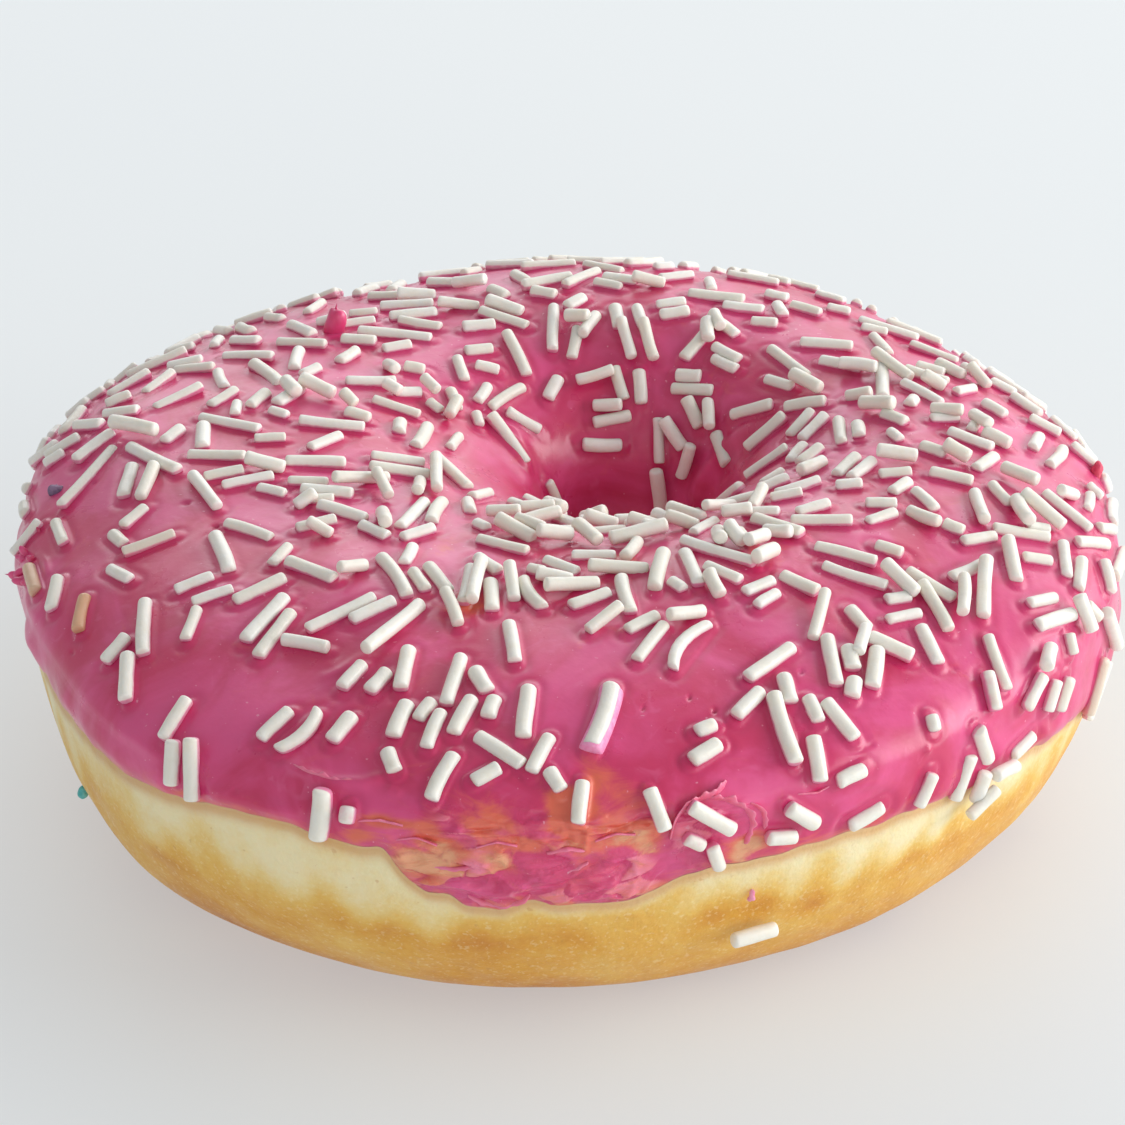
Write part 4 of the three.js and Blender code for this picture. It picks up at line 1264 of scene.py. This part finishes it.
# Thin curled flaps of torn icing: how high they stand, how far they lean, and where they run.
FLAPS = [
    (0.80, 0.40, [(10.9, .240), (11.3, .262), (12.2, .279), (14.0, .290), (15.4, .290), (16.2, .298),
                  (16.7, .307)]),
    (0.55, 0.35, [(14.6, .290), (16.4, .281), (18.2, .263), (19.2, .244), (18.6, .228)]),
    (0.40, 0.25, [(18.9, .268), (20.2, .252), (20.6, .236)]),
    (0.34, -0.30, [(-8.5, .213), (-6.0, .208), (-4.2, .209), (-2.5, .215)]),
    (0.22, -0.20, [(-12.0, .221), (-9.0, .223), (-6.0, .219), (-3.0, .225)]),
    (0.18, -0.18, [(-13.0, .233), (-9.5, .231), (-6.5, .236)]),
    (0.22, -0.20, [(-3.0, .231), (0.0, .229), (3.0, .235)]),
    (0.20, -0.18, [(0.5, .217), (3.2, .2205), (5.5, .218)]),
    (0.18, 0.15, [(-15.5, .246), (-13.0, .251), (-11.0, .246)]),
    (0.18, 0.15, [(3.5, .250), (5.5, .255), (7.5, .251)]),
    (0.16, -0.12, [(-1.0, .243), (1.0, .247), (2.6, .243)]),
    (0.16, 0.12, [(-7.5, .247), (-5.5, .253), (-3.6, .249)]),
    (0.18, 0.15, [(-18.6, .262), (-16.4, .268), (-14.2, .264)]),
    (0.45, 0.30, [(-27.0, .314), (-24.5, .307), (-21.5, .306), (-18.8, .313)]),
    (0.20, 0.15, [(24.0, .262), (26.2, .256), (28.0, .262)]),
]
FLAP_STEPS = 44
FLAP_THICKNESS = 0.30
FLAP_SHARES = np.array([0.0, 0.3, 0.6, 0.85, 1.0, 0.85, 0.6, 0.3])
FLAP_SIDES = np.array([-1.0, -1.0, -1.0, -1.0, 0.0, 1.0, 1.0, 1.0])
FLAP_ROOT = 0.25            # how deep a flap's foot goes into the icing
FLAP_EASING = np.hanning(11) / np.hanning(11).sum()
# Painted highlight: the flaps are painted paler, as the raised flakes are.
FLAP_FLAKE = 0.40           # lightens the flaps as it does the raised flakes


def flap(rise, lean, path, wave):
    """Points and faces of one flap."""
    share = np.linspace(0.0, 1.0, FLAP_STEPS)
    easing = np.interp(share, np.linspace(0.0, 1.0, len(path)), np.arange(len(path)))
    places = []
    for values in zip(*path):
        drawn = np.interp(easing, np.arange(len(path)), values)
        places.append(np.convolve(np.pad(drawn, 5, mode="edge"), FLAP_EASING, mode="valid"))
    foot = ring_point(*places)
    upward = ring_normal(*places)
    sideways = unit(np.cross(upward, unit(np.gradient(foot, axis=0))))
    stand = rise * np.sin(np.pi * share) ** 0.5 * (1.0 + 0.28 * wave(foot * 2.0))
    level = (icing_wobble(foot) - FLAP_ROOT)[:, None] + (stand + FLAP_ROOT)[:, None] * FLAP_SHARES
    half = 0.5 * FLAP_THICKNESS * (1.0 - 0.65 * FLAP_SHARES) * FLAP_SIDES
    offset = half[None] + lean * (stand / rise)[:, None] * FLAP_SHARES ** 1.6
    points = foot[:, None] + upward[:, None] * level[..., None] + sideways[:, None] * offset[..., None]
    sides = len(FLAP_SHARES)
    last = (FLAP_STEPS - 1) * sides
    ends = np.stack([np.arange(sides)[::-1], last + np.arange(sides)])
    return points.reshape(-1, 3), tube_faces(FLAP_STEPS, sides), ends


flap_points, flap_faces = joined([flap(*row, waves(60 + number, 1.6)) for number, row in enumerate(FLAPS)])
flap_values = glaze_attributes(len(flap_points), flake=FLAP_FLAKE)
flaps = mesh_object("icing_flaps", flap_points, flap_faces, glaze, **flap_values)
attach(flaps, "root")

# The pink coat that shows round the thick sprinkle at the front: a wider rod, set lower.
COAT_RADIUS = 1.00
COAT_SINK = 0.40
COAT_OVERHANG = 0.24      # how far it reaches past the sprinkle's lower end
coated = dict(next(rod for rod in rods if rod["name"] == COATED_ROD))
if coated["start"][2] > coated["end"][2]:
    coated.update(start=coated["end"], end=coated["start"], bend=-coated["bend"])
coat_foot = coated["start"] + unit(coated["start"] - coated["end"]) * COAT_OVERHANG
coat_sunk = coated["normal"] * COAT_SINK
coated.update(start=coat_foot - coat_sunk, end=coated["end"] - coat_sunk, radius=COAT_RADIUS)
coat_points, *coat_faces, _ = rod_mesh(coated, 24, 14, np.random.default_rng(71))
coat_pink = crumb_material("pale_glaze", tint(238, 136, 182), tint(246, 168, 204))
casing = mesh_object("icing_casing", coat_points, coat_faces, coat_pink)
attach(casing, "root")

# ------------------------------------------------------------ floor, camera and lights

FLOOR_HALF = 4.0
floor_corners = np.array([[-1, -1, 0], [1, -1, 0], [1, 1, 0], [-1, 1, 0]], float) * FLOOR_HALF / MM
floor = mesh_object("floor", floor_corners, [np.array([[0, 1, 2, 3]])], floor_material())

CAMERA_TARGET = Vector((-0.56, 5.58, 16.0)) * MM
CAMERA_ELEVATION = math.radians(30.0)
CAMERA_DISTANCE = 0.400
SENSOR_WIDTH = 36.0
FOCAL_SHARE = 4700.0 / 1125.0      # focal length over the picture's width

camera_data = bpy.data.cameras.new("camera")
camera_data.sensor_width = SENSOR_WIDTH
camera_data.lens = SENSOR_WIDTH * FOCAL_SHARE
camera_data.clip_start = 0.01
camera_data.clip_end = 20.0
camera = put_in_scene("camera", camera_data)
camera_back = Vector((0.0, -math.cos(CAMERA_ELEVATION), math.sin(CAMERA_ELEVATION)))
camera.location = CAMERA_TARGET + camera_back * CAMERA_DISTANCE
camera.rotation_euler = (math.pi / 2.0 - CAMERA_ELEVATION, 0.0, 0.0)
bpy.context.scene.camera = camera


def soft_light(name, place, width, depth, power, colour=(1.0, 1.0, 1.0)):
    """A rectangular light that faces the middle of the resting face."""
    data = bpy.data.lights.new(name, "AREA")
    data.shape = "RECTANGLE"
    data.size, data.size_y = width, depth
    data.energy = power
    data.color = colour
    obj = put_in_scene(name, data)
    obj.location = place
    obj.rotation_euler = Vector(place).to_track_quat("Z", "Y").to_euler()


soft_light("back_wall", (0.30, 1.15, 0.60), 1.9, 0.9, 9.5, (0.96, 0.98, 1.0))
soft_light("right_window", (1.08, 0.06, 0.38), 1.3, 0.66, 13.0)
soft_light("front_fill", (0.55, -1.70, 0.50), 2.0, 1.0, 6.5)

world = bpy.data.worlds.new("studio")
bpy.context.scene.world = world
world.use_nodes = True
backdrop = world.node_tree.nodes["Background"]
backdrop.inputs["Color"].default_value = (0.90, 0.93, 0.96, 1.0)
backdrop.inputs["Strength"].default_value = 0.50

bpy.context.scene.view_settings.view_transform = "Standard"
bpy.context.scene.view_settings.look = "None"
